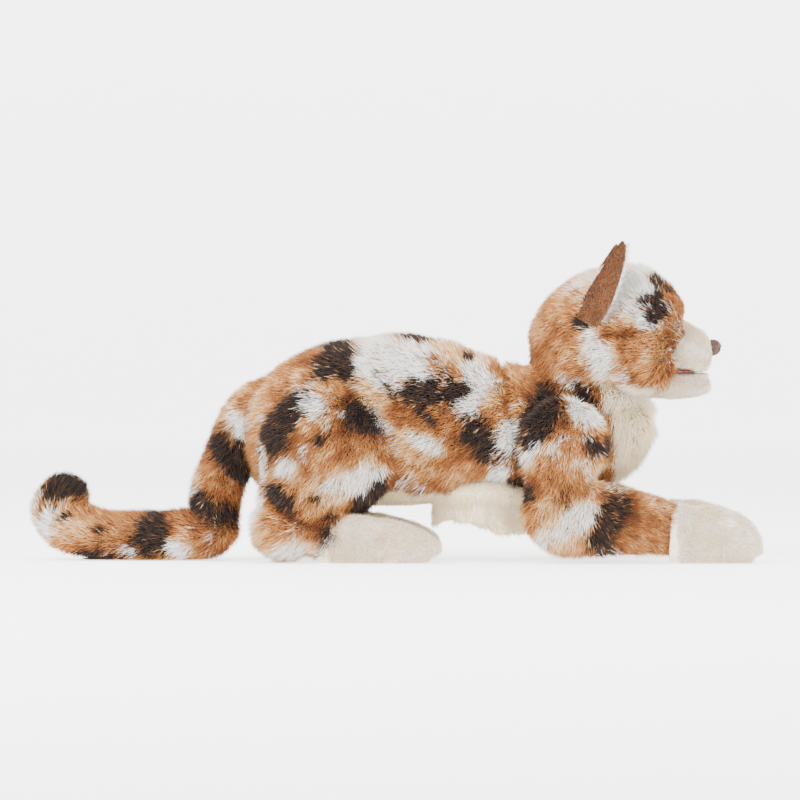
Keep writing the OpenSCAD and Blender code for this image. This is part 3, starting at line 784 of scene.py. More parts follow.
for zone, mask in lengths.items():
    for side, sign in sides.items():
        half = grownZone((points[:, 1] * sign >= 0) & mask & ~isBelly)
        fur = grow("torso_pile_" + zone + "_" + side, skin, half & free)
        join(fur, "torso")
fur = grow("belly_pile", skin, grownZone(isBelly) & free, **torso["bellyStrands"])
join(fur, "torso")
belly = cutAway(copyOf("belly_cloth", skin), grownZone(isBelly) & free, torso["wall"])
dress(belly, coatFinish, "torso", ["belly_panel"])
cutAway(skin, ~isBelly & free, torso["wall"])
dress(skin, coatFinish, "torso", ["torso_skin", "torso_stuffing"])
print("torso:", len(skin.data.polygons), grown)

# haunches and hind paws

paw = {"inset": 0.0024, "pile": 0.0044, "voxel": 0.0022, "bumps": 0.0016, "bumpSize": 0.010, "lay": (0.8, 0, -0.3),
       "strands": {"Width": 0.00036, "Clump": 0.9, "Stray": 0.5, "Lift": 0.7}}


def pawOn(kind, side, body, rows, middleY, share, seed, bare, density):  # kind is hind_paw or forepaw
    node = kind + "_" + side
    skin = fused(kind + "_cover_" + side, [loft(rowsIn(node, rows, middleY, *share), paw["inset"])], paw["voxel"], 5)
    flattened(skin.data, rest["paw"])
    points = uneven(skin, paw["bumpSize"], seed, paw["bumps"], rest["paw"])
    tone = 0.8 * softNoise(points, 0.0035, seed + 1) + 0.4 * softNoise(points, 0.015, seed + 2) - 0.05
    markCoat(skin.data, None, 1, paw["lay"], paw["pile"], tone)
    fur = grow(kind + "_pile_" + side, skin, points[:, 0] > boxes[node][0].x + bare, Density=density, **paw["strands"])
    join(fur, body)
    dress(skin, shortFinish, body, [node])


haunch = {"inset": 0.0045, "pile": 0.0090, "thigh": (0.0565, 0.0275, 0.0565), "heel": (0.0315, 0.0215, 0.0300),
          "ankle": (0.0270, 0.0205, 0.0250), "calf": (0.034, 0.023, 0.034), "crease": 0.003,
          "paw": [(-0.06, .10, .96, .70), (.12, .02, 1.02, .92), (.32, .0, 1.04, .98), (.52, .0, .99, 1.0),
                  (.70, .0, .90, .98), (.84, .02, .78, .90), (.95, .07, .64, .72), (1.03, .15, .50, .46),
                  (1.07, .24, .40, .22)]}
for side, sign in sides.items():
    node = "haunch_skin_" + side

    def across(share):  # 0 at the inner face, 1 at the outer one
        return share if sign > 0 else 1 - share

    thighAt, heelAt = spot(node, 0.54, across(0.42), 0.60), spot(node, 0.27, across(0.55), 0.19)
    ankleAt = spot(node, 0.50, across(0.55), 0.17)
    calfAt = spot(node, 0.33, across(0.5), 0.34)
    skin = fused("haunch_coat_" + side, [lump(at, haunch[key], haunch["inset"]) for key, at in (
        ("thigh", thighAt), ("heel", heelAt), ("ankle", ankleAt), ("calf", calfAt))], rounds=7)
    filled(skin)
    flattened(skin.data)
    points = pointsOf(skin.data)
    reach = np.hypot(points[:, 0] - thighAt.x, points[:, 2] - thighAt.z)
    crease = np.exp(-((reach - 0.0545) / 0.0038) ** 2) * eased((0.064 - points[:, 2]) / 0.01)
    crease *= points[:, 0] > thighAt.x - 0.045
    points = uneven(skin, 0.025, 50, 0.002, rest["coat"], haunch["crease"] * crease)
    lay = np.stack([-0.55 + 0 * points[:, 0], 0 * points[:, 0], np.where(points[:, 2] > 0.04, -0.85, -0.35)], axis=1)
    markCoat(skin.data, "thigh", 0, lay, haunch["pile"] * (1 - 0.4 * crease))
    # painted shade: the strands' tone is darker along the sunk crease at the thigh's front
    setValues(skin.data, "tone", getValues(skin.data, "tone") - 0.45 * crease)
    seen = (points[:, 1] * sign > 0.030) | ((points[:, 2] < 0.045) & (points[:, 1] * sign > 0.02))
    fur = grow("haunch_pile_" + side, skin, seen)
    join(fur, "torso")
    dress(skin, coatFinish, "torso", [node, "haunch_stuffing_" + side])

    low, high = boxes["hind_paw_" + side]
    pawOn("hind_paw", side, "torso", haunch["paw"], (low.y + high.y) / 2 + 0.001 * sign, (0.93, 0.97), 52, 0.012, 1.5e6)
print("haunches", grown["haunch_pile_right"], grown["hind_paw_pile_right"])

# forelegs

foreleg = {"inset": 0.0042, "pile": 0.0080, "shoulder": (0.0385, 0.0200, 0.0400), "elbow": (0.0310, 0.0185, 0.0420),
           "arm": [(.00, .30, .42, .40), (.055, .17, .52, .75), (.14, .07, .60, .95), (.25, .01, .64, 1.03),
                   (.36, .0, .62, 1.08), (.56, .0, .55, 1.10), (.74, .0, .485, 1.08), (.90, .0, .415, 1.04),
                   (1.0, .0, .375, 1.0), (1.06, .03, .33, .7)],
           "paw": [(-0.14, .02, 1.0, .80), (0, .0, 1.03, .92), (.2, .0, 1.02, .99), (.45, .0, .985, 1.01),
                   (.66, .0, .91, .97), (.82, .02, .79, .88), (.93, .07, .64, .70), (.995, .15, .50, .44),
                   (1.015, .24, .42, .22)]}
for side, sign in sides.items():
    body, node = "foreleg_" + side, "foreleg_skin_" + side
    at = joints["foreleg_" + side + "_lift"]
    middleY = at.y + 0.001 * sign
    skin = fused("foreleg_coat_" + side, [
        lump(at + Vector((-0.001, -0.0010 * sign, 0.002)), foreleg["shoulder"], foreleg["inset"]),
        lump(at + Vector((-0.004, 0.0005 * sign, -0.030)), foreleg["elbow"], foreleg["inset"]),
        loft(rowsIn(node, foreleg["arm"], middleY), foreleg["inset"])], rounds=8)
    filled(skin)
    flattened(skin.data)
    points = uneven(skin, 0.025, 60, 0.0022, rest["coat"])
    down = eased((points[:, 0] - at.x - 0.005) / 0.04)  # from the shoulder to the wrist
    lay = np.stack([-0.35 + 1.3 * down, 0 * down, -1 + 0.75 * down], axis=1)
    markCoat(skin.data, "leg", 0, lay, foreleg["pile"] - 0.0018 * down)
    seen = (points[:, 1] * sign > at.y * sign - 0.012) | (points[:, 0] > at.x + 0.03)
    fur = grow("foreleg_pile_" + side, skin, seen & (points[:, 0] < boxes[node][1].x - 0.002))
    join(fur, body)
    dress(skin, coatFinish, body, [node, "foreleg_stuffing_" + side])
    pawOn("forepaw", side, body, foreleg["paw"], middleY, (1.0, 1.0), 62, -0.002, 1.8e6)
print("forelegs", grown["foreleg_pile_right"], grown["forepaw_pile_right"])

# tail

tail = {"inset": 0.0045, "pile": 0.0085, "voxel": 0.0024}
rootAt, kinkAt = joints["tail_swing"], joints["tail_curl"]
low, high = boxes["tail_end_skin"]
upper = [(rootAt.x + 0.016, 0, rootAt.z + 0.008, 0.0215), (rootAt.x, 0, rootAt.z - 0.002, 0.0215),
         (rootAt.x - 0.013, 0, rootAt.z - 0.026, 0.0212), (kinkAt.x + 0.002, 0, rootAt.z - 0.052, 0.0208),
         (kinkAt.x - 0.001, 0, kinkAt.z + 0.022, 0.0205), (kinkAt.x, 0, kinkAt.z + 0.008, 0.0190)]
lower = [(kinkAt.x, 0, kinkAt.z + 0.006, 0.0195), (kinkAt.x - 0.012, 0.0, kinkAt.z + 0.001, 0.0203),
         (kinkAt.x - 0.045, 0.001, kinkAt.z, 0.0198), (kinkAt.x - 0.078, 0.003, kinkAt.z, 0.0196),
         (kinkAt.x - 0.100, 0.006, kinkAt.z + 0.004, 0.0206), (low.x + 0.0205, 0.0095, kinkAt.z + 0.013, 0.0222),
         (low.x + 0.0200, 0.010, high.z - 0.021, 0.0216), (low.x + 0.0225, 0.010, high.z - 0.0180, 0.0192)]
for name, path in (("tail_base", upper), ("tail_end", lower)):
    skin = fused(name + "_coat", beads(path, tail["inset"]), tail["voxel"])
    flattened(skin.data)
    points = uneven(skin, 0.018, 70, 0.002, rest["coat"])
    line = throughRows(path, 6)[:, :3]
    nearest = np.argmin(((points[:, None] - line[None]) ** 2).sum(2), axis=1)
    steps = np.vstack([np.diff(line, axis=0), line[-1] - line[-2]])
    lay = steps[nearest] / np.linalg.norm(steps[nearest], axis=1)[:, None]
    markCoat(skin.data, "tail", 0, lay, tail["pile"])
    keep = points[:, 2] > kinkAt.z + 0.012 if name == "tail_base" else points[:, 2] > -1
    fur = grow(name + "_pile", skin, keep & (points[:, 0] < rootAt.x + 0.026))
    join(fur, name)
    dress(skin, coatFinish, name, [name + "_skin", name + "_stuffing"])
print("tail", grown["tail_base_pile"], grown["tail_end_pile"])

# head

head = {"inset": 0.0046, "pile": 0.0082, "cheek": 0.0022, "wall": 0.0015, "crease": 0.0030, "socket": 0.0058,
        "strands": {"Density": 1.45e6, "Width": 0.00034},
        "rows": [(.065, .17, .47, .36), (.10, .07, .62, .62), (.165, .01, .76, .81), (.285, -.035, .90, .945),
                 (.43, -.05, .99, 1.0), (.60, -.03, 1.04, .99), (.75, .02, 1.025, .92), (.875, .11, .895, .79),
                 (.955, .21, .79, .60), (1.0, .31, .69, .36)]}
low, high = boxes["head_skin"]
cheeks = [lump(spot("head_skin", 0.72, 0.5 + 0.355 * s, 0.245), (0.027, 0.0165, 0.0235), head["inset"])
          for s in (-1, 1)]
brows = [lump(spot("head_skin", 0.90, 0.5 + 0.20 * s, 0.70), (0.0125, 0.0165, 0.0095), head["inset"] * 0.6)
         for s in (-1, 1)]
eyeR = (boxes["eye_left"][1].z - boxes["eye_left"][0].z) / 2
eyeTurn = math.radians(22)
eyeAt, gazeWay = {}, {}
for side, sign in sides.items():
    eyeLow, eyeHigh = boxes["eye_" + side]
    eyeAt[side] = Vector((eyeHigh.x - eyeR, eyeHigh.y - eyeR if sign > 0 else eyeLow.y + eyeR,
                          (eyeLow.z + eyeHigh.z) / 2))
    gazeWay[side] = Vector((math.cos(eyeTurn), math.sin(eyeTurn) * sign, 0))
    foldAt = eyeAt[side] + Vector((-0.0035, 0.0098 * sign, -0.0005))
    brows.append(lump(foldAt, (0.0115, 0.0050, 0.0115)))  # fold at the eye's outer corner
skin = fused("head_coat", [loft(rowsIn("head_skin", head["rows"]), head["inset"])] + cheeks + brows, 0.0024, 4)
points, outward = pointsOf(skin.data), normalsOf(skin.data)
for side, ahead in gazeWay.items():
    far = np.linalg.norm(points - np.array(eyeAt[side] + ahead * 0.004), axis=1)
    points -= np.array(ahead) * (head["socket"] * np.exp(-(far / 0.0088) ** 4))[:, None]
above = points[:, 2] - (low.z + 0.46 * (high.z - low.z)) - (points[:, 0] - neckAt.x - 0.03) * 0.18
crease = np.exp(-(above / 0.003) ** 2)  # the seam from the neck to the brow, sunk and darkened with painted shade
beyond, before = points[:, 0] - neckAt.x - 0.012, low.x + 0.80 * (high.x - low.x) - points[:, 0]
crease *= eased(beyond / 0.01) * eased(before / 0.01) * (np.abs(points[:, 1]) > 0.03)
points += outward * ((softNoise(points, 0.022, 80) - 0.5) * 0.002 - head["crease"] * crease)[:, None]
movePoints(skin.data, points)
noseAt = (Vector(boxes["nose"][0]) + Vector(boxes["nose"][1])) / 2 + Vector((0.008, 0, 0))
away = points - np.array(noseAt)
lay = away / np.linalg.norm(away, axis=1)[:, None]
nape = eased((neckAt.x + 0.004 - points[:, 0]) / 0.03)
lay += np.stack([0.35 * nape, 0 * nape, -0.15 - 1.1 * nape], axis=1)
chin = eased((low.z + 0.012 - points[:, 2]) / 0.008) * eased((points[:, 0] - neckAt.x - 0.02) / 0.01)
face = eased((points[:, 0] - (low.x + 0.90 * (high.x - low.x))) / 0.010)
eyeNear = np.min([np.linalg.norm(points - np.array(eyeAt[s]), axis=1) for s in sides], axis=0)
pile = head["pile"] + head["cheek"] * eased((low.z + 0.3 * (high.z - low.z) - points[:, 2]) / 0.02) - 0.0042 * face
atSide = eased((np.abs(points[:, 1]) - eyeAt["left"].y - 0.004) / 0.004)
shortest = 0.0026 + 0.0030 * atSide
pile = np.where(eyeNear < 0.020, shortest + (pile - shortest) * eased((eyeNear - 0.010) / 0.010), pile)
markCoat(skin.data, "head", chin, lay, pile)
# painted shade: the strands' tone is darker along the sunk seam from the neck to the brow
setValues(skin.data, "tone", getValues(skin.data, "tone") - 0.5 * crease)
free = outOfHandWay(points)
seen = free & (eyeNear > eyeR + 0.0006)
nearMuzzle = (np.abs(points[:, 1]) < 0.024) & (points[:, 2] < noseAt.z + 0.006) & (points[:, 0] > high.x - 0.010)
seen &= ~nearMuzzle
for part, mask in (("left", points[:, 1] >= 0), ("right", points[:, 1] <= 0)):
    fur = grow("head_pile_" + part, skin, grownZone(mask) & seen, **head["strands"])
    join(fur, "head")
cutAway(skin, free, head["wall"])
dress(skin, coatFinish, "head", ["head_skin", "head_stuffing_left", "head_stuffing_right"])
print("head", grown["head_pile_right"])

# muzzle and lower jaw, in short pile
muzzle = {"inset": 0.0016, "pile": 0.0032, "voxel": 0.0018, "lip": 0.008, "groove": 0.0022,
          "strands": {"Density": 2.4e6, "Width": 0.00026, "Clump": 0.6, "Stray": 0.45, "Lift": 0.75},
          "rows": [(-.30, .05, 1.0, .86), (.10, .0, 1.02, .98), (.38, .0, 1.0, 1.0), (.62, .0, .93, .94),
                   (.84, .03, .83, .78), (.98, .14, .70, .54), (1.06, .28, .56, .26)],
          "bridge": [(-.25, .5, 1.36, .40), (.15, .5, 1.38, .40), (.38, .45, 1.28, .40), (.66, .40, 1.10, .46),
                     (.88, .30, .97, .48), (1.0, .30, .84, .40), (1.04, .34, .76, .26)]}
low, high = boxes["muzzle_skin"]
lips = [lump(spot("muzzle_skin", 0.66, 0.5 + 0.19 * s, 0.34), (0.0125, 0.0115, 0.0105), muzzle["inset"])
        for s in (-1, 1)]
forms = [loft(rowsIn("muzzle_skin", muzzle[key]), muzzle["inset"]) for key in ("rows", "bridge")]
skin = fused("muzzle_cover", forms + lips, muzzle["voxel"])
points = uneven(skin, 0.007, 82, 0.001)
lowest, feltAt = points[:, 2].min(), boxes["mouth_lining_upper"][0].z + 0.0003
# the lips come down to the felt
points[:, 2] -= (lowest - feltAt) * (1 - eased((points[:, 2] - lowest) / muzzle["lip"]))
groove = np.exp(-(points[:, 1] / 0.0022) ** 2) * eased((points[:, 0] - noseAt.x + 0.006) / 0.004)
groove *= points[:, 2] < noseAt.z
points[:, 0] -= muzzle["groove"] * groove
movePoints(skin.data, points)
away = points - np.array(noseAt)
lip = eased((low.z + 0.003 - points[:, 2]) / 0.003)
lay = away / np.linalg.norm(away, axis=1)[:, None] + np.stack([0 * lip, 0 * lip, -1.2 * lip], axis=1)
pile = muzzle["pile"] * eased((np.linalg.norm(away, axis=1) - 0.004) / 0.012)
tone = 0.12 + 0.5 * softNoise(points, 0.004, 83) + 0.4 * softNoise(points, 0.012, 86)
markCoat(skin.data, None, 1, lay, np.maximum(pile, 0.0014), tone, 1 - 0.85 * lip)
fur = grow("muzzle_pile", skin, np.linalg.norm(away, axis=1) > 0.0080, **muzzle["strands"])
join(fur, "head")
dress(skin, shortFinish, "head", ["muzzle_skin"])

jaw = {"pile": 0.0044, "lip": 0.006,
       "strands": {"Density": 2.2e6, "Width": 0.00028, "Clump": 0.5, "Stray": 0.4, "Lift": 0.75},
       "rows": [(.02, .25, .86, .60), (.12, .06, .98, .86), (.32, .0, 1.0, .98), (.55, -.02, .98, .98),
                (.76, .0, .96, .88), (.91, .08, .96, .68), (1.02, .24, .92, .44), (1.05, .36, .84, .26)]}
low, high = boxes["jaw_skin"]
skin = fused("jaw_cover", [loft(rowsIn("jaw_skin", jaw["rows"]), muzzle["inset"])], muzzle["voxel"], 4)
points = uneven(skin, 0.007, 84, 0.001)
highest, feltAt = points[:, 2].max(), boxes["mouth_lining_lower"][1].z - 0.0003
points[:, 2] += (feltAt - highest) * (1 - eased((highest - points[:, 2]) / jaw["lip"]))
movePoints(skin.data, points)
lip = eased((points[:, 2] - high.z + 0.003) / 0.003)
lay = np.stack([-0.8 + 0.5 * lip, 0 * lip, -0.4 + 1.4 * lip], axis=1)
tone = 0.12 + 0.5 * softNoise(points, 0.004, 85) + 0.3 * softNoise(points, 0.012, 87)
markCoat(skin.data, None, 1, lay, jaw["pile"] - 0.0014 * lip, tone, 1 - 0.8 * lip)
fur = grow("jaw_pile", skin, points[:, 2] < high.z + 0.0004, **jaw["strands"])
join(fur, "jaw")
dress(skin, shortFinish, "jaw", ["jaw_skin"])

# throat: turns with the neck and hides the seam between the head and the chest
throat = {"half": (0.047, 0.0385, 0.030), "nape": (0.040, 0.037, 0.026), "inset": 0.0045, "pile": 0.009,
          "density": 1.2e6}
throatAt = neckAt + Vector((0.010, 0, -0.014))
napeAt = neckAt + Vector((-0.008, 0, -0.008))
skin = fused("neck_coat", [lump(throatAt, throat["half"], throat["inset"]),
                           lump(napeAt, throat["nape"], throat["inset"])])
points = pointsOf(skin.data)
chin = eased((points[:, 0] - neckAt.x - 0.014) / 0.012)
markCoat(skin.data, "body", chin, np.tile((-0.6, 0, -1), (len(points), 1)), throat["pile"])
free = outOfHandWay(points)
shown = (points[:, 2] < neckAt.z + 0.008) & (points[:, 2] > neckAt.z - 0.036)
fur = grow("neck_pile", skin, free & shown, Density=throat["density"])
join(fur, "neck")
cutAway(skin, free, head["wall"])
dress(skin, coatFinish, "neck", ["neck_skin"])
print("muzzle, jaw and throat", grown["muzzle_pile"], grown["jaw_pile"], grown["neck_pile"])

# ears

ear = {"cup": 0.0110, "lean": 0.0085, "wall": 0.0024, "liningWall": 0.0012, "rows": 30, "columns": 14,
       "fluff": 0.0105, "nap": 0.0018,
       "napStrands": {"Density": 1.5e6, "Width": 0.00028, "Lift": 0.8, "Stray": 0.5, "Clump": 0.5},
       "fluffStrands": {"Density": 2.2e6, "Width": 0.0003, "Lift": 0.75, "Stray": 0.4, "Clump": 0.5}}


def leafAxes(co):  # thickness, width and height directions of a thin leaf
    thin, wide, tall = np.linalg.eigh(np.cov((co - co.mean(0)).T))[1].T
    return thin, wide, tall * np.sign(tall[2])


def softened(thing, levels):
    soften = thing.modifiers.new("soften", "SUBSURF")
    soften.levels = soften.render_levels = levels
    return applied(thing)


for side in sides:
    co = pointsOf(frame["nodes"]["ear_back_" + side].data)
    middle = co.mean(0)
    thin, wide, tall = leafAxes(co)
    toFront = pointsOf(frame["nodes"]["ear_front_" + side].data).mean(0) - middle
    thin = thin * np.sign(thin @ toFront)
    reachUp = np.abs((co - middle) @ tall).max()
    reachAcross = np.abs((co - middle) @ wide).max()
    foot = middle - tall * reachUp * 1.12

    def leaf(name, out, shrink):
        grid = []
        for i in range(ear["rows"] + 1):
            t = i / ear["rows"]
            swell = math.sin(math.pi * min(0.30 + 0.70 * t, 1)) ** 0.60
            half = reachAcross * shrink * swell * (1 - 0.10 * t) + 0.0006
            for k in range(ear["columns"] + 1):
                s = 2 * k / ear["columns"] - 1
                curl = ear["cup"] * (1.25 - 0.75 * t) * (s * s) * (half / reachAcross) + 0.0045 * t * t
                upward = 2.12 * reachUp * t * (0.985 if shrink < 1 else 1)
                lean = Vector((-ear["lean"] * (1 - t) ** 1.4, 0, 0))
                grid.append(foot + lean + tall * upward + wide * half * s + thin * (curl - 0.0028 + out))
        n = ear["columns"] + 1
        faces = [(i * n + k, i * n + k + 1, (i + 1) * n + k + 1, (i + 1) * n + k)
                 for i in range(ear["rows"]) for k in range(ear["columns"])]
        thing = newThing(name, meshOf(name, grid, faces))
        if normalsOf(thing.data).mean(0) @ thin < 0:
            thing.data.flip_normals()
        return thing

    backLeaf = leaf("ear_velour_" + side, 0, 1)
    thick = backLeaf.modifiers.new("wall", "SOLIDIFY")
    thick.thickness, thick.offset = ear["wall"], 0
    softened(backLeaf, 2)
    points = pointsOf(backLeaf.data)
    markCoat(backLeaf.data, None, 0, np.tile(tall, (len(points), 1)), ear["nap"],
             0.35 * softNoise(points, 0.004, 96) - 0.16)
    setValues(backLeaf.data, "white", np.zeros(len(points)))
    setValues(backLeaf.data, "dark", 0.15 + 0.4 * softNoise(points, 0.007, 97))
    fur = grow("ear_nap_" + side, backLeaf, None, **ear["napStrands"])
    join(fur, "head")
    dress(backLeaf, velourFinish, "head", ["ear_back_" + side])

    front = softened(leaf("ear_lining_" + side, 0.0016, 0.86), 1)
    points = pointsOf(front.data)
    fluff = ear["fluff"] * (1 - 0.45 * eased(((points - foot) @ tall) / (2.1 * reachUp)))  # shorter towards the tip
    markCoat(front.data, None, 0, np.tile(tall * 0.9 - wide * 0.25, (len(points), 1)), fluff, np.full(len(points), 0.9))
    setValues(front.data, "white", np.ones(len(points)))
    setValues(front.data, "coat", np.tile((0.72, 0.70, 0.66, 1), (len(points), 1)), "FLOAT_COLOR")
    fur = grow("ear_fluff_" + side, front, None, **ear["fluffStrands"])
    join(fur, "head")
    thick = front.modifiers.new("wall", "SOLIDIFY")
    thick.thickness, thick.offset = ear["liningWall"], -1
    applied(front)
    dress(front, coatFinish, "head", ["ear_front_" + side])
print("ears", grown["ear_fluff_right"])

# eyes, nose and whiskers

for side, ahead in gazeWay.items():
    rings = []
    turn = ahead.to_track_quat("Z", "Y").to_matrix()
    for i in range(1, 32):
        tilt = math.pi * i / 32
        bulge = 1 + 0.06 * math.exp(-(tilt / 0.55) ** 2)
        wide, deep = math.sin(tilt), math.cos(tilt) * bulge
        rings.append(np.array([eyeAt[side] + turn @ Vector((wide * math.cos(a), wide * math.sin(a), deep)) * eyeR
                               for a in np.linspace(0, 2 * math.pi, 48, endpoint=False)]))
    ball = newThing("eye_ball_" + side, ringed("eye_ball_" + side, rings))
    offset = pointsOf(ball.data) - np.array(eyeAt[side])
    cosine = offset @ np.array(ahead) / np.linalg.norm(offset, axis=1)
    setValues(ball.data, "gaze", np.arccos(np.clip(cosine, -1, 1)) / math.pi)
    dress(ball, eyeFinish, "head", ["eye_" + side])

rings = []
noseHalf = (boxes["nose"][1].y - boxes["nose"][0].y) / 2
for i in range(1, 28):
    tilt = math.pi * i / 28
    ring = []
    for a in np.linspace(0, 2 * math.pi, 56, endpoint=False):
        y, z, x = math.sin(tilt) * math.cos(a), math.sin(tilt) * math.sin(a), math.cos(tilt)
        wide = 1.0 if z > 0 else 1.0 - 0.45 * min(1, -z) ** 1.2  # narrower below
        high = 0.70 if z > 0 else 0.80
        p = Vector((x * 0.0068, y * noseHalf * wide, z * noseHalf * high))
        for s in (-1, 1):  # nostrils
            d = (p - Vector((0.0052, s * 0.0044, -0.0012))).length
            p.x -= 0.0028 * math.exp(-(d / 0.0021) ** 2)
        p.x -= 0.0008 * math.exp(-(p.y / 0.0009) ** 2) * (p.z < 0)
        ring.append(np.array(noseAt + Vector((-0.0005, 0, 0.0008)) + p))
    rings.append(np.array(ring))
dress(newThing("nose_button", ringed("nose_button", rings)), noseFinish, "head", ["nose"])

whisker = {"root": 0.0001, "tip": 0.00004, "sag": 0.005, "perSide": 4, "length": 0.050}
for side, sign in sides.items():
    low, high = boxes["whiskers_" + side]
    pieces = bmesh.new()
    for i in range(whisker["perSide"]):
        share = i / (whisker["perSide"] - 1)
        whiskerRoot = Vector((high.x - 0.012 - 0.004 * share, sign * 0.0205, low.z + 0.003 + 0.010 * share))
        outwards = Vector((-0.30 - 0.30 * share, 0.95 * sign, 0.10 + 0.55 * share)).normalized()
        length = whisker["length"] - 0.010 * abs(share - 0.35)
        turn = outwards.to_track_quat("Z", "Y").to_matrix()
        rings = []
        for t in np.linspace(0, 1, 12):
            middle = whiskerRoot + outwards * length * t - Vector((0, 0, whisker["sag"] * t * t))
            r = whisker["root"] + (whisker["tip"] - whisker["root"]) * t
            rings.append(np.array([middle + turn @ Vector((r * math.cos(a), r * math.sin(a), 0))
                                   for a in np.linspace(0, 2 * math.pi, 6, endpoint=False)]))
        pieces.from_mesh(ringed("whisker", rings))
    mesh = bpy.data.meshes.new("whisker_set_" + side)
    pieces.to_mesh(mesh)
    pieces.free()
    dress(newThing("whisker_set_" + side, mesh), whiskerFinish, "head", ["whiskers_" + side])
for node in ("eye_washer_left", "eye_washer_right", "nose_washer"):
    onlyMaterial(frame["nodes"][node], washerFinish)
print("face done")

# mouth felts
felt = {"shareX": 0.86, "shareY": 0.80, "corner": 0.75, "around": 64,
        "levels": [(0, 0.3), (0, 0.65), (0, 0.93), (0.25, 1.0), (0.75, 1.0), (1, 0.93), (1, 0.65), (1, 0.3)]}
for name, node, body in (("felt_upper", "mouth_lining_upper", "head"), ("felt_lower", "mouth_lining_lower", "jaw")):
    low, high = boxes[node]
    middle, half = (low + high) / 2, (high - low) / 2
    turns = [(math.cos(a), math.sin(a)) for a in np.linspace(0, 2 * math.pi, felt["around"], endpoint=False)]
    outline = [[abs(v) ** felt["corner"] * (1 if v > 0 else -1) for v in turn] for turn in turns]
    rings = []
    for level, share in felt["levels"]:
        z = low.z + (high.z - low.z) * level
        wide, deep = half.x * felt["shareX"] * share, half.y * felt["shareY"] * share
        rings.append(np.array([(middle.x - 0.002 + wide * c, deep * s * (1 - 0.15 * max(c, 0) ** 3), z)
                               for c, s in outline]))
    dress(newThing(name, ringed(name, rings)), feltFinish, body, [node])

# hand sleeve

def clothTube(name, line, ripple, seed, around=72):  # line: x, y, z, reach along, reach across
    rings = []
    for i, (x, y, z, a, b) in enumerate(line):
        turn = np.linspace(0, 2 * math.pi, around, endpoint=False)
        base = np.stack([x + a * np.cos(turn), y + b * np.sin(turn), np.full(around, z)], axis=1)
        place = np.stack([np.cos(turn) * 0.03, np.sin(turn) * 0.03, np.full(around, z * 0.5)], axis=1)
        wave = (softNoise(place, 0.012, seed) - 0.5) * 2
        base[:, 0] += np.cos(turn) * wave * ripple[i]
        base[:, 1] += np.sin(turn) * wave * ripple[i]
        rings.append(base)
    verts = np.vstack(rings)
    faces = [(i * around + k, i * around + (k + 1) % around, (i + 1) * around + (k + 1) % around, (i + 1) * around + k)
             for i in range(len(rings) - 1) for k in range(around)]
    return newThing(name, meshOf(name, verts, faces))


def thickened(thing, wall):
    thick = thing.modifiers.new("wall", "SOLIDIFY")
    thick.thickness, thick.offset = wall, 0
    return softened(thing, 1)


cuff = {"levels": 20, "ripple": 0.0034, "wall": 0.0009, "pile": 0.0042, "ease": 1.06, "above": 0.004, "clear": 0.002,
        "strands": {"Density": 1.5e6, "Width": 0.0003, "Clump": 0.6, "Stray": 0.5, "Lift": 0.6}}
line, ripple = [], []
halfX, halfY = cuffReach - 0.0005, cuffHigh.y - 0.0005
for i in range(cuff["levels"]):
    t = i / (cuff["levels"] - 1)  # 0 at the belly, 1 at the hem
    flare = 0.008 * math.exp(-((t - 0.22) / 0.2) ** 2)  # spreads where it is sewn to the belly
    drop = (cuffHigh.z + cuff["above"] - cuffLow.z - cuff["clear"]) * t
    reach = (halfX + flare + 0.0015 + 0.0035 * t, halfY + flare + 0.001 + 0.0045 * t)
    line.append((cuffMid, 0, cuffHigh.z + cuff["above"] - drop, *reach))
    ripple.append(0.001 + cuff["ripple"] * t)
hem = clothTube("sleeve_cuff_cloth", line, ripple, 90)
points = pointsOf(hem.data)
turn = np.arctan2(points[:, 1], points[:, 0] - cuffMid)
hang = eased((cuffHigh.z - 0.008 - points[:, 2]) / (cuffHigh.z - cuffLow.z))
points[:, 2] += hang * (0.004 - 0.006 * np.cos(turn) + 0.0035 * np.sin(turn * 3 + 1) + 0.002 * np.sin(turn * 7))
fold = np.exp(-((points[:, 0] - (cuffLow.x + 0.36 * (cuffHigh.x - cuffLow.x))) / 0.004) ** 2) * hang
points[:, 1] *= 1 - 0.10 * fold
movePoints(hem.data, points)
area = sum(p.area for p in hem.data.polygons)
flatWidth = math.pi * (halfX + halfY) * cuff["ease"]  # round the tube, with a little ease
if normalsOf(hem.data)[5] @ (points[5] - points.mean(0)) < 0:
    hem.data.flip_normals()
markCoat(hem.data, None, 1, (0.1, 0, -1), cuff["pile"], 0.5 * softNoise(points, 0.006, 95))
fur = grow("sleeve_pile", hem, None, **cuff["strands"])
join(fur, "torso")
thickened(hem, cuff["wall"])
dress(hem, clothFinish, "torso", ["sleeve_cuff"])
area / flatWidth

passage = throughRows([(*row[:3], row[3] - 0.0006, min(row[3], cuffHigh.y) - 0.0006) for row in handWay[1:5]], 6)
inner = clothTube("sleeve_lining_cloth", passage, [0.0007] * len(passage), 91)
thickened(inner, cuff["wall"])
dress(inner, liningFinish, "torso", ["sleeve_lining"])
collar = throughRows([(neckAt.x - 0.004, 0, neckAt.z - 0.022, 0.0245, 0.0250), (neckAt.x, 0, neckAt.z, 0.0248, 0.0252),
                      (neckAt.x + 0.005, 0, neckAt.z + 0.020, 0.0240, 0.0246)], 6)
inner = clothTube("neck_lining_cloth", collar, [0.0007] * len(collar), 92)
thickened(inner, cuff["wall"])
dress(inner, liningFinish, "neck", ["neck_lining"])

